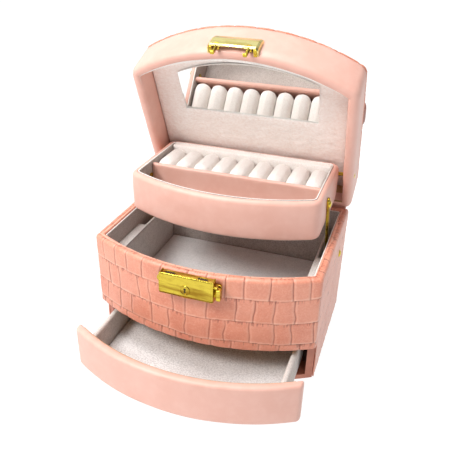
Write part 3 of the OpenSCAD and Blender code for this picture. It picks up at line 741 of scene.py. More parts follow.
def make_lid_top():
    """Padded embossed top of the lid, its edge turned over the band."""
    edge_r, crown, rings, inner_t = 2.0, 2.6, 22, 57.0
    z_low = LID_TOP - LID_SEAM
    profile = [(-BAND_SWELL * 0.6, z_low), (-BAND_SWELL * 0.6 - 0.35, z_low + 0.5)]
    profile += line(profile[-1], (0.0, LID_TOP - edge_r), 0.6)
    profile += arc((edge_r, LID_TOP - edge_r), edge_r, 180, 90, 6)[1:]
    profile += line((edge_r, LID_TOP), (inner_t, LID_TOP), 0.8)
    grid = capped(skin_of(LID_PLAN, profile), rings)
    t_all = np.concatenate([[p[0] for p in profile], np.full(rings, inner_t)])
    grid[:, :, 2] += (crown * (1 - np.exp(-np.maximum(t_all - 1.0, 0) / 16.0)))[:, None]
    # the pattern lies flat on the top and folds down over the edge
    out = LID_PLAN.normals()
    drop = np.array([max(0.0, LID_TOP - edge_r * 0.3 - p[1]) for p in profile] + [0.0] * rings)
    flat = grid[:, :, :2] + out[None] * drop[:, None, None]
    edges = [18.5 * k for k in range(16)]
    obj = croc_piece(
        "lid_top_leather_embossed", grid, flat[:, :, 0] + 200.0, flat[:, :, 1] + 130.0, edges, on_lid, "lid",
        ("lid_top_leather", "lid_top_foam"), seed=31,
    )
    solidify(obj, 0.9)


# ---- smooth leather


def make_lid_band():
    """Smooth leather of the lid's walls: round the padded rim and in to the lining."""
    back_wall, lip = 5.0, 3.5
    inner_t = LINER_IN
    profile = [(inner_t, LINING_Z + 1.0)] + line((inner_t, LINING_Z + 1.0), (inner_t, LID_FOOT + 3.2), 1.6)
    profile += [
        (lip + lip * math.cos(a), LID_FOOT + 3.0 - 3.0 * math.sin(a))
        for a in np.linspace(0, math.pi, 15)[1:]
    ]
    top = LID_TOP - LID_SEAM + 0.8
    profile += line((0.0, LID_FOOT + 3.0), (0.0, top), 1.4)
    grid = skin_of(LID_PLAN, profile)
    t_all = np.array([p[0] for p in profile])[:, None]
    # the padding under the leather makes the outer face swell
    z_all = grid[:, :, 2]
    swell = smooth(LID_FOOT, LID_FOOT + 6.0, z_all) * smooth(top + 1.5, top - 4.0, z_all) * BAND_SWELL
    swell = np.where(t_all < 3.6, np.maximum(swell, 0.35 * BAND_SWELL), 0.0)
    grid[:, :, :2] += LID_PLAN.normals()[None] * swell[:, :, None]
    rearness = smooth(REAR_Y - 24.0, REAR_Y - 9.0, grid[:, :, 1] + t_all)
    grid[:, :, 1] += rearness * np.maximum(t_all - t_all * back_wall / inner_t, 0)
    # slight hand-made unevenness
    n = grid_normals(grid)
    s, w = over(LID_PLAN.s, grid), over(path_length(profile)[:, None], grid)
    grid = grid + n * (0.16 * layered(s / 22.0, w / 16.0, 5))[:, :, None]
    obj = sheet(
        "lid_band_leather_rolled", grid, "lid", SMOOTH, "smooth_leather", "lid_band_leather", on_lid
    )
    solidify(obj, 0.8)


def make_tray_leather():
    """Leather wrapped over the tray, with a rolled rim and a rounded lower edge."""
    low, top = TRAY_LOW[2], TRAY_HIGH[2]
    foot_r, rim_r, lip_r, wall, rings = 2.4, 3.0, 1.2, 4.4, 12
    profile = [(14.0, low)] + line((14.0, low), (foot_r, low), 2.0)
    profile += arc((foot_r, low + foot_r), foot_r, 270, 180, 6)[1:]
    profile += line((0.0, low + foot_r), (0.0, top - rim_r), 1.4)
    profile += arc((rim_r, top - rim_r), rim_r, 180, 90, 8)[1:]
    profile += arc((wall - lip_r, top - lip_r), lip_r, 90, 0, 5) + [(wall, top - 3.0)]
    grid = capped(skin_of(TRAY_PLAN, profile), rings, at_end=False)
    z = grid[:, :, 2]
    mid = smooth(0.0, 1.0, (z - low) / (top - low) * 4) * smooth(0.0, 1.0, (top - z) / 8.0)
    outer = np.concatenate([np.zeros(rings), [1.0 if p[0] < 2.5 else 0.0 for p in profile]])[:, None]
    grid[:, :, :2] += TRAY_PLAN.normals()[None] * (0.35 * mid * outer)[:, :, None]
    s = over(TRAY_PLAN.s, grid)
    w = over(np.concatenate([np.zeros(rings), path_length(profile)])[:, None], grid)
    n = grid_normals(grid)
    soft = smooth(low + 0.5, low + 3.0, grid[:, :, 2])
    grid = grid + n * (soft * 0.14 * layered(s / 18.0, w / 12.0, 8))[:, :, None]
    solidify(sheet("tray_leather_wrapped", grid, "tray", SMOOTH, "smooth_leather", "tray_leather"), 0.8)


def make_drawer_front():
    """Curved drawer front, wrapped in smooth leather with soft edges."""
    low, high = box_mm("drawer_front_leather")
    thick, r = 6.5, 2.3
    z0, z1 = low[2], high[2]
    corners = [(r, z0 + r, 180), (thick - r, z0 + r, 270), (thick - r, z1 - r, 0), (r, z1 - r, 90)]
    ring = []
    for t, z, turn in corners:
        ring += arc((t, z), r, turn, turn + 90, 6)
    # extra points up the outer face
    ring += line(ring[-1], ring[0], 2.0)[:-1]
    ring = np.array(ring)
    middle = np.array([thick / 2, (z0 + z1) / 2])
    ends = [0.0, 0.25, 0.7, 1.3, 2.0]
    between = np.linspace(-HALF_W + 3.2, HALF_W - 3.2, 120)
    xs = np.array([-HALF_W + e for e in ends] + list(between) + [HALF_W - e for e in ends[::-1]])
    rows = []
    for x in xs:
        gap = HALF_W - abs(x)
        shrink = 2.0 - math.sqrt(max(0.0, 4.0 - (2.0 - min(gap, 2.0)) ** 2))
        size = np.array([thick / 2, (z1 - z0) / 2])
        scaled = middle + (ring - middle) * ((size - shrink) / size)
        across = np.full(len(ring), x)
        rows.append(np.column_stack([across, CASE_PLAN.front(across, scaled[:, 0]), scaled[:, 1]]))
    grid = np.stack(rows)
    grid[:, :, 1] += 0.15 * layered(over(xs[:, None], grid) / 20.0, grid[:, :, 2] / 14.0, 12)
    obj = piece(
        "drawer_front_wrapped", grid.reshape(-1, 3), tube_faces(len(xs), len(ring)), "drawer", SMOOTH,
        "smooth_leather", "drawer_front_leather", on_drawer,
    )
    fix_normals(obj)


def fix_normals(obj):
    bm = bmesh.new()
    bm.from_mesh(obj.data)
    bmesh.ops.recalc_face_normals(bm, faces=bm.faces)
    bm.to_mesh(obj.data)
    bm.free()


def make_divider():
    low, high = box_mm("tray_divider")
    points, faces = rounded_box(low, high, 1.9, 2.5, (0.5, 1.95, 1.9))
    points[:, 1] += 0.12 * layered(points[:, 0] / 18.0, points[:, 2] / 9.0, 4)
    waves = noise(points[:, 0] / 25.0, points[:, 0] * 0, 9)
    points[:, 2] += smooth(low[2], high[2], points[:, 2]) * 0.15 * waves
    piece("tray_divider_wrapped", points, faces, "tray", SMOOTH, "smooth_leather", "tray_divider")


def make_handle():
    """Padded leather strap whose ends fold under themselves on the lid."""
    width, thick, bend, half, foot = 17.0, 3.2, 10.0, 79.0, 62.0
    y_mid = HINGE_Y - 63.0
    mid_r = bend - thick / 2
    path = [(x, thick / 2) for x in np.linspace(foot, half, 8)]
    half_turn = np.linspace(0, math.pi, 18)
    path += [(half + mid_r * math.sin(a), bend - mid_r * math.cos(a)) for a in half_turn[1:]]
    top = 2 * bend - thick / 2
    path += [(x, top + 1.2 * math.cos(x / half * math.pi / 2)) for x in np.linspace(half, -half, 60)[1:-1]]
    path += [(-half - mid_r * math.sin(a), bend + mid_r * math.cos(a)) for a in half_turn]
    path += [(-x, thick / 2) for x in np.linspace(half, foot, 8)[1:]]
    path = np.array(path)
    along = np.gradient(path, axis=0)
    along /= np.linalg.norm(along, axis=1)[:, None]
    side = np.stack([along[:, 1], -along[:, 0]], 1)
    angles = np.linspace(0, 2 * math.pi, 28, endpoint=False)
    rows = []
    for k, (p, n) in enumerate(zip(path, side)):
        ends = min(k, len(path) - 1 - k)
        taper = 1.0 if ends > 2 else (0.55, 0.85, 0.96)[ends]
        u = np.sign(np.cos(angles)) * np.abs(np.cos(angles)) ** 0.35 * width / 2 * taper
        v = np.sign(np.sin(angles)) * np.abs(np.sin(angles)) ** 0.8 * thick / 2 * taper
        rows.append(np.column_stack([p[0] + n[0] * v, y_mid + u, LID_TOP + 2.2 + p[1] + n[1] * v]))
    obj = piece(
        "handle_strap_padded", np.concatenate(rows), tube_faces(len(rows), len(angles)), "lid",
        SHADED_STRAP_LEATHER, "smooth_leather", "handle_strap", on_lid,
    )
    fix_normals(obj)


def make_hinge_strip():
    """Folded leather from the back of the case to the back of the lid."""
    half, reach_case, reach_lid, thick = HALF_W - 2.5, 11.0, 12.0, 1.0
    out = thick + 0.35
    direction = (math.sin(LID_OPEN), math.cos(LID_OPEN))
    normal = (math.cos(LID_OPEN), -math.sin(LID_OPEN))
    path = [(out, z) for z in np.linspace(-reach_case, -0.8, 9)]
    path += [
        (normal[0] * out + direction[0] * v, normal[1] * out + direction[1] * v)
        for v in np.linspace(1.6, reach_lid, 9)
    ]
    xs = np.linspace(-half, half, 90)
    grid = np.stack([
        np.column_stack([xs, np.full(len(xs), HINGE_Y + y), np.full(len(xs), HINGE_Z + z)]) for y, z in path
    ])
    obj = sheet(
        "hinge_strip_folded", grid, None, SMOOTH, "smooth_leather", "hinge_strip", wrap=False, turned=True
    )
    solidify(obj, thick)
    subdivide(obj, 1)
    apply_modifiers(obj)
    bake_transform(obj)


def subdivide(obj, levels):
    mod = obj.modifiers.new("smoothing", "SUBSURF")
    mod.levels = mod.render_levels = levels


def apply_modifiers(obj):
    """Bakes the modifiers into the mesh."""
    depsgraph = bpy.context.evaluated_depsgraph_get()
    depsgraph.update()
    baked = bpy.data.meshes.new_from_object(obj.evaluated_get(depsgraph))
    obj.modifiers.clear()
    obj.data = baked
    baked.polygons.foreach_set("use_smooth", [True] * len(baked.polygons))


# ---- velvet


def make_well_liners():
    """Velvet-covered card on each wall of the case, its pale cut edge along the rim."""
    floor = box_mm("well_floor_pad")[0][2]
    top = CASE_H - RIM_BELOW_CASE
    t = LINER_IN
    profile = [(t - 0.9, top - 1.5), (t - 0.75, top), (t - 0.2, top), (t, top - 0.4)]
    profile += line((t, top - 0.4), (t, floor), 2.5)
    for name, parts in {"left": (2,), "front": (3, 4, 5), "right": (6,)}.items():
        grid = skin_of(CASE_PLAN, profile, CASE_PLAN.columns(*parts))
        node = f"well_liner_{name}"
        obj = sheet(f"{node}_velvet", grid, "case", [VELVET, CARD], "velvet", node, wrap=False)
        mark_edge(obj, top - 0.35)
        solidify(obj, 0.6)
    low, high = box_mm("well_liner_back")
    points, faces = rounded_box(low, (high[0], high[1], top), 0.3, 4.0)
    obj = piece("well_liner_back_velvet", points, faces, "case", [VELVET, CARD], "velvet", "well_liner_back")
    mark_edge(obj, top - 0.4)


def mark_edge(obj, z):
    """Gives faces above z (mm, in world space) the second material."""
    for face in obj.data.polygons:
        if face.center.z > z * MM:
            face.material_index = 1


def pad(node, plan, crown, body, material, seed, place=None, rings=18):
    """Crowned velvet pad that fills an outline, between the heights of its CAD node."""
    z0, z1 = (corner[2] for corner in box_mm(node))
    r = min(1.6, (z1 - z0) * 0.6)
    profile = [(0.8, z0), (0.15, z0 + 0.3), (0.0, z0 + 0.8)]
    profile += arc((r, z1 - r), r, 180, 90, 6)
    inner = min(plan.half, (plan.rear - plan.front(0.0)) / 2) * 0.6
    profile += line((r, z1), (inner, z1), 1.5)
    grid = capped(skin_of(plan, profile), rings)
    t_all = np.concatenate([[p[0] for p in profile], np.full(rings, inner)])
    grid[:, :, 2] += (crown * (1 - np.exp(-np.maximum(t_all - r, 0) / 7.0)))[:, None]
    top = smooth(r * 0.6, r * 2 + 1, t_all)[:, None]
    grid[:, :, 2] += top * 0.16 * layered(grid[:, :, 0] / 9.0, grid[:, :, 1] / 7.0, seed, 3)
    grid = capped(grid, 6, at_end=False)
    sheet(f"{node}_velvet", grid, body, material, "velvet", node, place)


def make_pads():
    high = box_mm("well_floor_pad")[1]
    plan = Plan(high[0], high[1], BOW_CY, BOW_R - LINER_IN - 0.3, 1.5, 1.0, 1.5)
    # the well floor takes the velvet painted paler for light
    pad("well_floor_pad", plan, 0.7, "case", LIT_WELL_VELVET, 21)
    high = box_mm("drawer_floor_pad")[1]
    plan = Plan(high[0], high[1] + DRAWER_OUT, BOW_CY, BOW_R - 6.9, 1.5, 1.0, 1.5)
    pad("drawer_floor_pad", plan, 0.7, "drawer", DRAWER_VELVET, 22, on_drawer)
    high = box_mm("tray_floor_pad")[1]
    plan = Plan(high[0], high[1], TRAY_PLAN.cy, TRAY_R - 5.2, 4.8, 0.8, 1.2)
    pad("tray_floor_pad", plan, 0.4, "tray", VELVET, 23, rings=10)


def make_link_covers():
    """Velvet walls and ledges that hide the links inside the well."""
    for side, name in SIDES:
        low, high = box_mm(f"link_cover_{name}")
        x_in, x_out = (low[0], high[0]) if side > 0 else (high[0], low[0])
        cover_t, slot_y = 1.8, -2.0
        wall = rounded_box(
            (min(x_in, x_in + side * cover_t), low[1] + 0.6, low[2]),
            (max(x_in, x_in + side * cover_t), high[1], high[2]), 0.5, 4.0)
        ledge = rounded_box(
            (min(x_in, x_out), low[1] + 2.6, high[2] - cover_t),
            (max(x_in, x_out), slot_y, high[2] + 0.02), 0.5, 3.0)
        points, faces = joined(wall, ledge)
        points[:, 1] = np.maximum(points[:, 1], CASE_PLAN.front(np.abs(points[:, 0]), LINER_IN + 0.2))
        points[:, 2] += 0.05 * noise(points[:, 0] / 3.0, points[:, 1] / 5.0, 6)
        node = f"link_cover_{name}"
        piece(f"{node}_velvet", points, faces, "case", LEDGE_VELVET, "velvet", node)


def make_tray_liner():
    """Velvet inside the tray, its card edge standing just above the rim."""
    floor, top = box_mm("tray_liner")[0][2], TRAY_HIGH[2] + 0.45
    profile = [(4.35, top - 1.9), (4.4, top - 0.15), (5.2, top - 0.15), (5.3, top - 0.6)]
    profile += line((5.3, top - 0.6), (5.3, floor), 2.0)
    obj = sheet(
        "tray_liner_velvet", skin_of(TRAY_PLAN, profile), "tray", [VELVET, CARD], "velvet", "tray_liner"
    )
    mark_edge(obj, top - 0.5)
    solidify(obj, 0.6)


def make_ring_rolls():
    """Nine velvet-covered foam rolls, round on top and at both ends."""
    low, high = box_mm("ring_rolls")
    count = 9
    pitch = (high[0] - low[0] + 0.3) / count
    half = (pitch - 0.25) / 2
    for k in range(count):
        x = low[0] - 0.15 + (k + 0.5) * pitch
        lift = 0.5 * (hashed(np.array([k]), np.array([1]), 5)[0] - 0.5)
        points, faces = rounded_box(
            (x - half, low[1] + 0.2, low[2]), (x + half, high[1], high[2] + 0.3 + lift), half,
            1.6, (half, half * 0.95, half * 1.02))
        n = 0.14 * layered(points[:, 1] / 5.0, points[:, 2] / 4.0, 40 + k, 3)
        points[:, 2] += n
        points[:, 0] += 0.4 * n
        replaced = "ring_rolls" if k == 0 else ()
        obj = piece(f"ring_roll_{k + 1}", points, faces, "tray", CREAM, "cream_velvet", replaced)
        subdivide(obj, 1)
    low, high = box_mm("ring_back_strip")
    points, faces = rounded_box(
        (low[0] - 3.4, low[1] - 1.5, low[2]), (high[0] + 3.4, high[1] + 1.6, TRAY_HIGH[2] - 0.15), 1.4, 2.5)
    points[:, 2] += 0.1 * layered(points[:, 0] / 8.0, points[:, 1] / 6.0, 60)
    obj = piece("ring_back_strip_velvet", points, faces, "tray", CREAM, "cream_velvet", "ring_back_strip")


def make_drawer_box():
    """Velvet-wrapped walls of the drawer with soft round tops."""
    for name in ("drawer_side_left", "drawer_side_right", "drawer_back"):
        low, high = box_mm(name)
        if name == "drawer_back":
            points, faces = rounded_box(low, high, 1.6, 4.0)
        else:
            low[1] += 0.5
            points, faces = rounded_box(low, high, 2.0, 4.0)
            limit = CASE_PLAN.front(np.abs(points[:, 0]), 6.6) - DRAWER_OUT
            points[:, 1] = np.maximum(points[:, 1], limit)
        uneven = 0.12 * layered(points[:, 1] / 14.0, points[:, 0] / 5.0, 14)
        points[:, 2] += uneven * smooth(low[2], high[2], points[:, 2])
        piece(f"{name}_velvet", points, faces, "drawer", LEDGE_VELVET, "velvet", name)


# ---- lid lining and mirror

MIRROR_HALF, MIRROR_RISE = 56.3, 13.0
MIRROR_LOW, MIRROR_SIDE = HINGE_Y - 70.8, HINGE_Y - 107.0
MIRROR_LEAN, MIRROR_DEEP = 4.4, 2.75
MIRROR_ARC = bow_radius(MIRROR_HALF, MIRROR_RISE)


def mirror_arch(xs):
    """Where the arched edge of the mirror's opening lies."""
    return MIRROR_SIDE - MIRROR_RISE + MIRROR_ARC - np.sqrt(MIRROR_ARC**2 - xs**2)


def make_lining():
    """Velvet panel inside the lid with an arched opening for the mirror."""
    half = HALF_W - LINER_IN - 0.5
    rear = HINGE_Y - 5.4
    xs = np.concatenate([
        np.linspace(-half, -MIRROR_HALF, 22)[:-1], np.linspace(-MIRROR_HALF, MIRROR_HALF, 96),
        np.linspace(MIRROR_HALF, half, 22)[1:],
    ])
    arch = mirror_arch(np.clip(np.abs(xs), 0, MIRROR_HALF))
    front = LID_CY - np.sqrt((LID_R - LINER_IN - 0.1) ** 2 - xs**2)
    # soft outer corners
    front = front + 2.5 * smooth(half - 5.0, half, np.abs(xs)) ** 2
    # rows from the rear to the mirror, across the opening, and on to the front
    blocks = [(rear + xs * 0, MIRROR_LOW + xs * 0, 56), (MIRROR_LOW + xs * 0, arch, 34), (arch, front, 15)]
    rows, hole = [], []
    for b, (start, end, count) in enumerate(blocks):
        for k in range(count):
            rows.append(start + (end - start) * k / count)
            hole.append(b == 1)
    rows.append(front)
    ys = np.stack(rows)
    x = np.broadcast_to(xs, ys.shape)
    gap = np.maximum(np.maximum(np.abs(x) - MIRROR_HALF, 0), np.maximum(ys - MIRROR_LOW, 0))
    gap = np.maximum(gap, np.maximum(arch[None] - ys, 0))
    inset = np.minimum(half - np.abs(x), np.minimum(rear - ys, ys - front))
    away = smooth(0.0, 3.0, gap) * smooth(0.0, 3.0, inset)
    puff = 0.55 * away + 0.22 * away * layered(x / 6.0, ys / 2.6, 70, 3)
    grid = np.stack([x, ys, LINING_Z - puff], 2)
    hole = np.array(hole)
    mid = np.abs((xs[:-1] + xs[1:]) / 2) < MIRROR_HALF

    def keep(j, i):
        return ~(hole[j] & mid[i])

    obj = sheet(
        "lid_lining_velvet", grid, "lid", [LINING_VELVET, CARD], "velvet", "lid_lining_panel", on_lid,
        False, keep,
    )
    solidify(obj, 1.9, rim_material=1)


def make_mirror():
    """Arched mirror with a bevelled lower edge, set deepest there."""
    lean, inset = math.tan(math.radians(MIRROR_LEAN)), 0.6
    reach = MIRROR_HALF + inset
    bevel_w, bevel_deep = 1.8, 0.5
    xs = np.linspace(-reach, reach, 60)
    arch = mirror_arch(xs) - inset
    low = MIRROR_LOW + inset
    rows = [np.full_like(xs, low), np.full_like(xs, low - bevel_w)]
    rows += [low + (arch - low) * k / 4 for k in range(1, 5)]
    grid = np.stack([np.column_stack([xs, ys, LINING_Z + MIRROR_DEEP - (low - ys) * lean]) for ys in rows])
    grid[0, :, 2] += bevel_deep
    obj = sheet(
        "mirror_glass_arched", grid, "lid", MIRROR, "mirror_glass", "mirror_glass", on_lid, wrap=False,
        turned=True, smooth_faces=False,
    )
    solidify(obj, 1.6)


# ---- gold hardware


def swept_section(section, xs, insets, shift):
    """Closed (y, z) polygon carried along x; each station is set in by its inset, then shifted."""
    section = np.array(section, float)
    low, high = section.min(0), section.max(0)
    middle, size = (low + high) / 2, (high - low) / 2
    rows = []
    for x, inset in zip(xs, insets):
        ring = middle + (section - middle) * ((size - inset) / size)
        rows.append(np.column_stack([np.full(len(ring), x), ring + shift(x, ring)]))
    return np.concatenate(rows), tube_faces(len(rows), len(section))


def disc_y(centre, r, y, depth=0.25, count=20):
    """Thin domed disc facing -Y."""
    angle = np.linspace(0, 2 * math.pi, count, endpoint=False)
    rings = [(r, y + depth), (r, y + 0.08), (r * 0.9, y), (r * 0.45, y - 0.05)]
    points = [
        [centre[0] + q * math.cos(a), yy, centre[1] + q * math.sin(a)] for q, yy in rings for a in angle
    ]
    return domed(points, len(rings), count, [centre[0], y - 0.07, centre[1]])


def ring_y(centre, r, y, wire, count=28):
    """Round wire ring facing -Y."""
    points = []
    for a in np.linspace(0, 2 * math.pi, count, endpoint=False):
        for b in np.linspace(0, 2 * math.pi, 8, endpoint=False):
            q = r + wire * math.cos(b)
            points.append([centre[0] + q * math.cos(a), y - wire * math.sin(b), centre[1] + q * math.sin(a)])
    return np.array(points), wire_faces(count)


def oval_slot(centre, half_x, half_y, z):
    """Raised lip of an oval opening in a flat top, and a dark floor disc painted as the shade down the opening, as
    two (points, faces) pairs.
    """
    lip, floor = [], []
    angles = np.linspace(0, 2 * math.pi, 30, endpoint=False)
    for a in angles:
        across, along = math.copysign(abs(math.cos(a)) ** 0.6, math.cos(a)), math.sin(a)
        for b in np.linspace(0, 2 * math.pi, 8, endpoint=False):
            out = 0.32 * math.cos(b)
            lip.append([
                centre[0] + (half_x + out) * across, centre[1] + (half_y + out) * along,
                z + 0.3 * math.sin(b),
            ])
        floor.append([centre[0] + half_x * across, centre[1] + half_y * along, z + 0.06])
    return (lip, wire_faces(len(angles))), (floor, [list(range(len(angles)))])


def two_tone(name, gold_parts, shade_parts, body, replaces, place=None, edges=0.0):
    """Makes a piece of gold parts and of parts painted dark as the shade in holes and gaps, each a (points, faces)
    pair.
    """
    points, faces = joined(*gold_parts, *shade_parts)
    gold_faces = sum(len(part[1]) for part in gold_parts)
    obj = piece(name, points, faces, body, [GOLD, HOLE_SHADE], "gold_metal", replaces, place, smooth_faces=False)
    for face in obj.data.polygons[gold_faces:]:
        face.material_index = 1
    fix_normals(obj)
    if edges:
        bevel(obj, edges, 2, 25.0)


HOOK_X = 12.0


def make_lock():
    """Lock with a sunk top, two hook slots, a round plug and a thumb slide."""
    low, high = box_mm("lock_case")
    back, front, foot, top = high[1], low[1], low[2], high[2] + 1.1
    sunk = 0.9

    def section(depth):
        return [
            (back, foot), (front + 2.4, foot), (front + 0.5, foot + 1.0), (front, foot + 2.6),
            (front + 0.1, top - 4.2), (front + 0.9, top - 1.0), (front + 1.3, top), (front + 2.1, top),
            (front + 2.2, top - depth), (back, top - depth),
        ]

    def point(x, ring):
        drop = -0.9 * max(0.0, 1.0 - abs(x) / 7.0) * smooth(foot + 2.0, foot, ring[:, 1])
        return np.column_stack([np.zeros(len(ring)), drop])

    w = high[0]
    ends = [(-w, 0.7), (-w + 0.6, 0.0), (-w + 1.2, 0.0)]
    left = swept_section(section(0.0), [e[0] for e in ends], [e[1] for e in ends], point)
    right = swept_section(section(0.0), [-e[0] for e in ends[::-1]], [e[1] for e in ends[::-1]], point)
    xs = np.linspace(-w + 1.2, w - 1.2, 25)
    body = swept_section(section(sunk), xs, [0.0] * len(xs), point)
    slot_y, slot_z = (front + back) / 2 + 0.4, top - sunk
    lips, floors = zip(*(oval_slot((side * HOOK_X - 0.4, slot_y), 3.9, 1.7, slot_z) for side in (-1, 1)))
    # the slot floors are dark discs painted as the shade down the slots
    two_tone("lock_case_bevelled", [left, body, right, *lips], floors, "case", "lock_case", edges=0.2)
    plug_low, plug_high = box_mm("lock_plug")
    z = (plug_low[2] + plug_high[2]) / 2
    face = front - 0.35
    stem = disc_y((0, z), 3.0, face, 5.0)
    collar = ring_y((0, z), 3.35, front - 0.15, 0.42)
    # dark disc painted as the shadow gap round the collar, and dark discs painted as the shade inside the keyhole
    gap = disc_y((0, z), 3.3, front - 0.04, 0.1)
    keyhole = [
        disc_y((0, z + 0.95), 0.95, face - 0.12), disc_y((0, z - 1.0), 0.8, face - 0.12),
        disc_y((0, z), 0.45, face - 0.1),
    ]
    two_tone("lock_plug_turned", [stem], keyhole, "plug", "lock_plug")
    two_tone("lock_plug_collar", [collar], [gap], "case", ())
    low, high = box_mm("latch_slide")
    thumb = rounded_box((w + 1.3, front + 2.2, foot + 2.0), (w + 4.5, back - 0.4, foot + 11.0), 0.8, 2.0)
    plate = rounded_box(
        (low[0], low[1] + 1.2, high[2] - 1.6), (high[0] - 3.0, high[1] - 1.5, high[2]), 0.3, 6.0)
    two_tone("latch_slide_thumb", [thumb, plate], [], "latch", "latch_slide")
    behind = APEX_Y + 0.6
    plate = rounded_box((-w + 0.3, back, foot + 1.0), (w + 3.6, behind, foot + 12.0), 0.5, 6.0)
    ear = disc_y((-w, foot + 8.0), 4.2, back - 0.3, 1.6, 32)
    stud = disc_y((-w - 2.2, foot + 8.0), 0.7, back - 0.75, 0.5, 16)
    two_tone("lock_back_plate_pressed", [plate, ear, stud], [], "case", "lock_back_plate")


def on_hasp(points):
    """The hasp sits a little to the left of the lock's middle."""
    return on_lid(np.asarray(points, float) + np.array([HASP_SHIFT, 0.0, 0.0]))


def make_hasp():
    """Hollow bevelled hasp on the lid, open below, with its two hooks."""
    half, foot, height, back, front = 19.0, LID_FOOT + 0.6, 17.0, APEX_Y + 1.2, APEX_Y - 7.0
    top = foot + height
    outer = [
        (back, foot), (front + 0.9, foot), (front, foot + 1.6), (front + 0.3, foot + 9.5),
        (front + 2.6, top - 1.6), (front + 4.6, top), (back, top),
    ]
    ends = [(half, 2.0), (half - 0.5, 0.9), (half - 1.8, 0.0)]
    stations = [(-x, inset) for x, inset in ends]
    stations += [(x, 0.0) for x in np.linspace(-half + 3.5, half - 3.5, 15)] + ends[::-1]
    rows = []
    for x, inset in stations:
        ring = np.array(outer, float)
        ring[:, 0] = np.minimum(ring[:, 0] + inset * 1.2 * smooth(back, front, ring[:, 0]), back)
        ring[:, 1] = np.minimum(ring[:, 1], top - inset)
        # the lower edge arches up over the middle of the lock
        arch = 0.8 * (1 - min(1.0, abs(x) / 9.0) ** 2)
        ring[:, 1] += smooth(foot + 2.5, foot, ring[:, 1]) * arch
        rows.append(np.column_stack([np.full(len(ring), x), ring]))
    count, last = len(outer), len(rows) - 1
    faces = [
        [j * count + i, j * count + i + 1, (j + 1) * count + i + 1, (j + 1) * count + i]
        for j in range(last) for i in range(1, count - 1)
    ]
    faces += [[j * count + i for i in range(1, count)] + [j * count] for j in (0, last)]
    obj = piece(
        "hasp_plate_bevelled", np.concatenate(rows), faces, "lid", [LIT_HASP_GOLD, HOLE_SHADE], "gold_metal",
        "hasp_plate", on_hasp, smooth_faces=False,
    )
    fix_normals(obj)
    solidify(obj, 0.9)
    bevel(obj, 0.18, 2, 20.0)
    low, high = box_mm("lock_case")
    y, tip = low[1] + 3.7, high[2] - 5.6
    parts = []
    for side in (-1, 1):
        x, end = side * HOOK_X, side * (half - 2.4)
        parts += [
            rounded_box((x - 0.85, y - 1.3, tip), (x + 0.85, y + 1.3, foot + 7.0), 0.5, 3.0),
            rounded_box((x - 2.2, y - 1.3, tip - 0.4), (x + 0.85, y + 1.3, tip + 1.1), 0.45, 2.0),
            rounded_box((x - 1.6, y - 2.2, foot + 2.0), (x + 1.6, back, foot + 3.2), 0.4, 2.0),
            rounded_box((end - 1.3, front + 1.4, foot - 0.3), (end + 1.3, back - 1.0, foot + 0.9), 0.5, 2.0),
        ]
    two_tone("hasp_hooks", parts, [], "lid", (), on_hasp)


def make_rivet_heads():
    """Round heads over the link pivots, outside the case, the lid and the tray."""
    count, r = 24, 3.0
    rings = [(r, 0.0), (r, 0.4), (r * 0.86, 1.0), (r * 0.6, 1.45), (r * 0.3, 1.7)]
    angle = np.linspace(0, 2 * math.pi, count, endpoint=False)
    pivots = {"link_rivet_case": "case", "lid_pivot_pin": "lid", "link_rivet_tray": "tray"}
    for side, name in SIDES:
        for node, body in pivots.items():
            low, high = box_mm(f"{node}_{name}")
            y, z = ((low + high) / 2)[1:]
            base = (high[0] if side > 0 else low[0]) - side * 1.3
            points = [
                [base + side * h, y + q * math.cos(a), z + q * math.sin(a)] for q, h in rings for a in angle
            ]
            points, faces = domed(points, len(rings), count, [base + side * 1.78, y, z])
            fix_normals(piece(f"{node}_{name}_head", points, faces, body, GOLD, "gold_metal"))


def make_bay_shade_sheets():
    """Near-black sheets on both sides of the drawer bay, painted shade for the dark inside of the bay."""
    high = box_mm("case_bottom_board")[1]
    limit = float(CASE_PLAN.front(HALF_W, 6.0)) + 1.5
    for side, name in SIDES:
        x = side * (HALF_W - WALL_T - 0.15)
        points, faces = rounded_box(
            (min(x, x - side * 0.3), limit, high[2]), (max(x, x - side * 0.3), high[1] - 0.5, BAY_H + 0.5),
            0.1, 12.0)
        piece(f"bay_shade_{name}", points, faces, "case", BAY_SHADE, "board")


# ---- camera and light


def make_camera():
    """Main viewpoint, in millimetres and degrees."""
    spot, azimuth, elevation, roll = (127.2, -382.8, 307.3), 18.88, 28.4, 1.16
    az, el, ro = (math.radians(v) for v in (azimuth, elevation, roll))
    forward = Vector((-math.sin(az) * math.cos(el), math.cos(az) * math.cos(el), -math.sin(el)))
    right = Vector((math.cos(az), math.sin(az), 0.0))
    up = right.cross(forward)
    turned_right = right * math.cos(ro) + up * math.sin(ro)
    turned_up = up * math.cos(ro) - right * math.sin(ro)
    data = bpy.data.cameras.new("camera")
    data.lens, data.sensor_width = 45.3, 36.0
    data.shift_x, data.shift_y = 0.0015, 0.0042
    camera = bpy.data.objects.new("camera", data)
    turn = Matrix((turned_right, turned_up, -forward)).transposed()
    camera.matrix_world = Matrix.Translation(Vector(spot) * MM) @ turn.to_4x4()
    SCENE.collection.objects.link(camera)
    SCENE.camera = camera


def area_light(name, spot, target, size, power, colour=(1, 1, 1)):
    data = bpy.data.lights.new(name, "AREA")
    data.shape, data.size, data.size_y = "RECTANGLE", size[0], size[1]
    data.energy, data.color = power, colour
    light = bpy.data.objects.new(name, data)
    light.location = spot
    light.rotation_euler = (Vector(target) - Vector(spot)).to_track_quat("-Z", "Y").to_euler()
    SCENE.collection.objects.link(light)


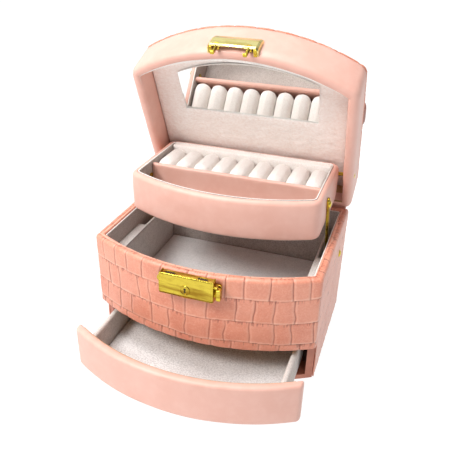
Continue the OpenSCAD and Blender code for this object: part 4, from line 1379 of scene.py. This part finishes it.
SKY_DIM, SKY_BRIGHT, SKY_SPAN = 0.02, 0.9, (-0.1, 1.0)
SKY_TOWARDS = (-0.45, 0.35, 0.8)
WALL_GLOW, WALL_TOP = 0.96, (0.13, 0.2)
FLOOR_GLOW, FLOOR_SIZE, FLOOR_Z = 0.96, 60.0, -0.0002
AIM = (0, 0, 0.1)


def make_stage():
    """World light brighter on one side, two area lights and a pale floor."""
    world = Nodes("studio", "worlds", "Background", "Generated")
    side = world.add("ShaderNodeVectorMath", operation="DOT_PRODUCT")
    side.inputs[1].default_value = SKY_TOWARDS
    world.link(world.place, side.inputs[0])
    height = world.add("ShaderNodeSeparateXYZ")
    world.link(world.place, height.inputs[0])
    level = world.ramp(side.outputs["Value"], *SKY_SPAN, SKY_DIM, SKY_BRIGHT)
    # pale wall of light along the horizon, so no view ends in darkness
    wall = world.ramp(height.outputs["Z"], *WALL_TOP, WALL_GLOW, 0.0)
    SCENE.world = world.set(Color=(1.0, 1.0, 1.0), Strength=world.math("MAXIMUM", level, wall))
    SCENE.view_settings.view_transform = "Standard"
    area_light("key", (-0.6, -0.8, 1.1), AIM, (0.5, 0.4), 15.0, (1.0, 0.98, 0.96))
    area_light("top", (-0.2, -0.1, 1.25), AIM, (0.5, 0.5), 8.0)
    mesh = bpy.data.meshes.new("floor")
    corners = [(x * FLOOR_SIZE, y * FLOOR_SIZE, FLOOR_Z) for x, y in ((-1, -1), (1, -1), (1, 1), (-1, 1))]
    mesh.from_pydata(corners, [], [(0, 1, 2, 3)])
    floor = bpy.data.objects.new("floor", mesh)
    m = Nodes("floor")
    grey = m.tint((0.11,) * 3, (0.13,) * 3, m.noise(300.0, 2.0), 0.3, 0.7)
    mesh.materials.append(m.set(
        Base_Color=grey, Roughness=0.9, Emission_Color=(1.0, 1.0, 1.0), Emission_Strength=FLOOR_GLOW,
    ))
    SCENE.collection.objects.link(floor)


make_camera()
make_stage()
dress_cad_nodes()
make_case_cover()
make_lid_top()
make_lid_band()
make_tray_leather()
make_drawer_front()
make_divider()
make_handle()
make_hinge_strip()
make_well_liners()
make_pads()
make_link_covers()
make_tray_liner()
make_ring_rolls()
make_drawer_box()
make_lining()
make_mirror()
make_lock()
make_hasp()
make_rivet_heads()
make_bay_shade_sheets()
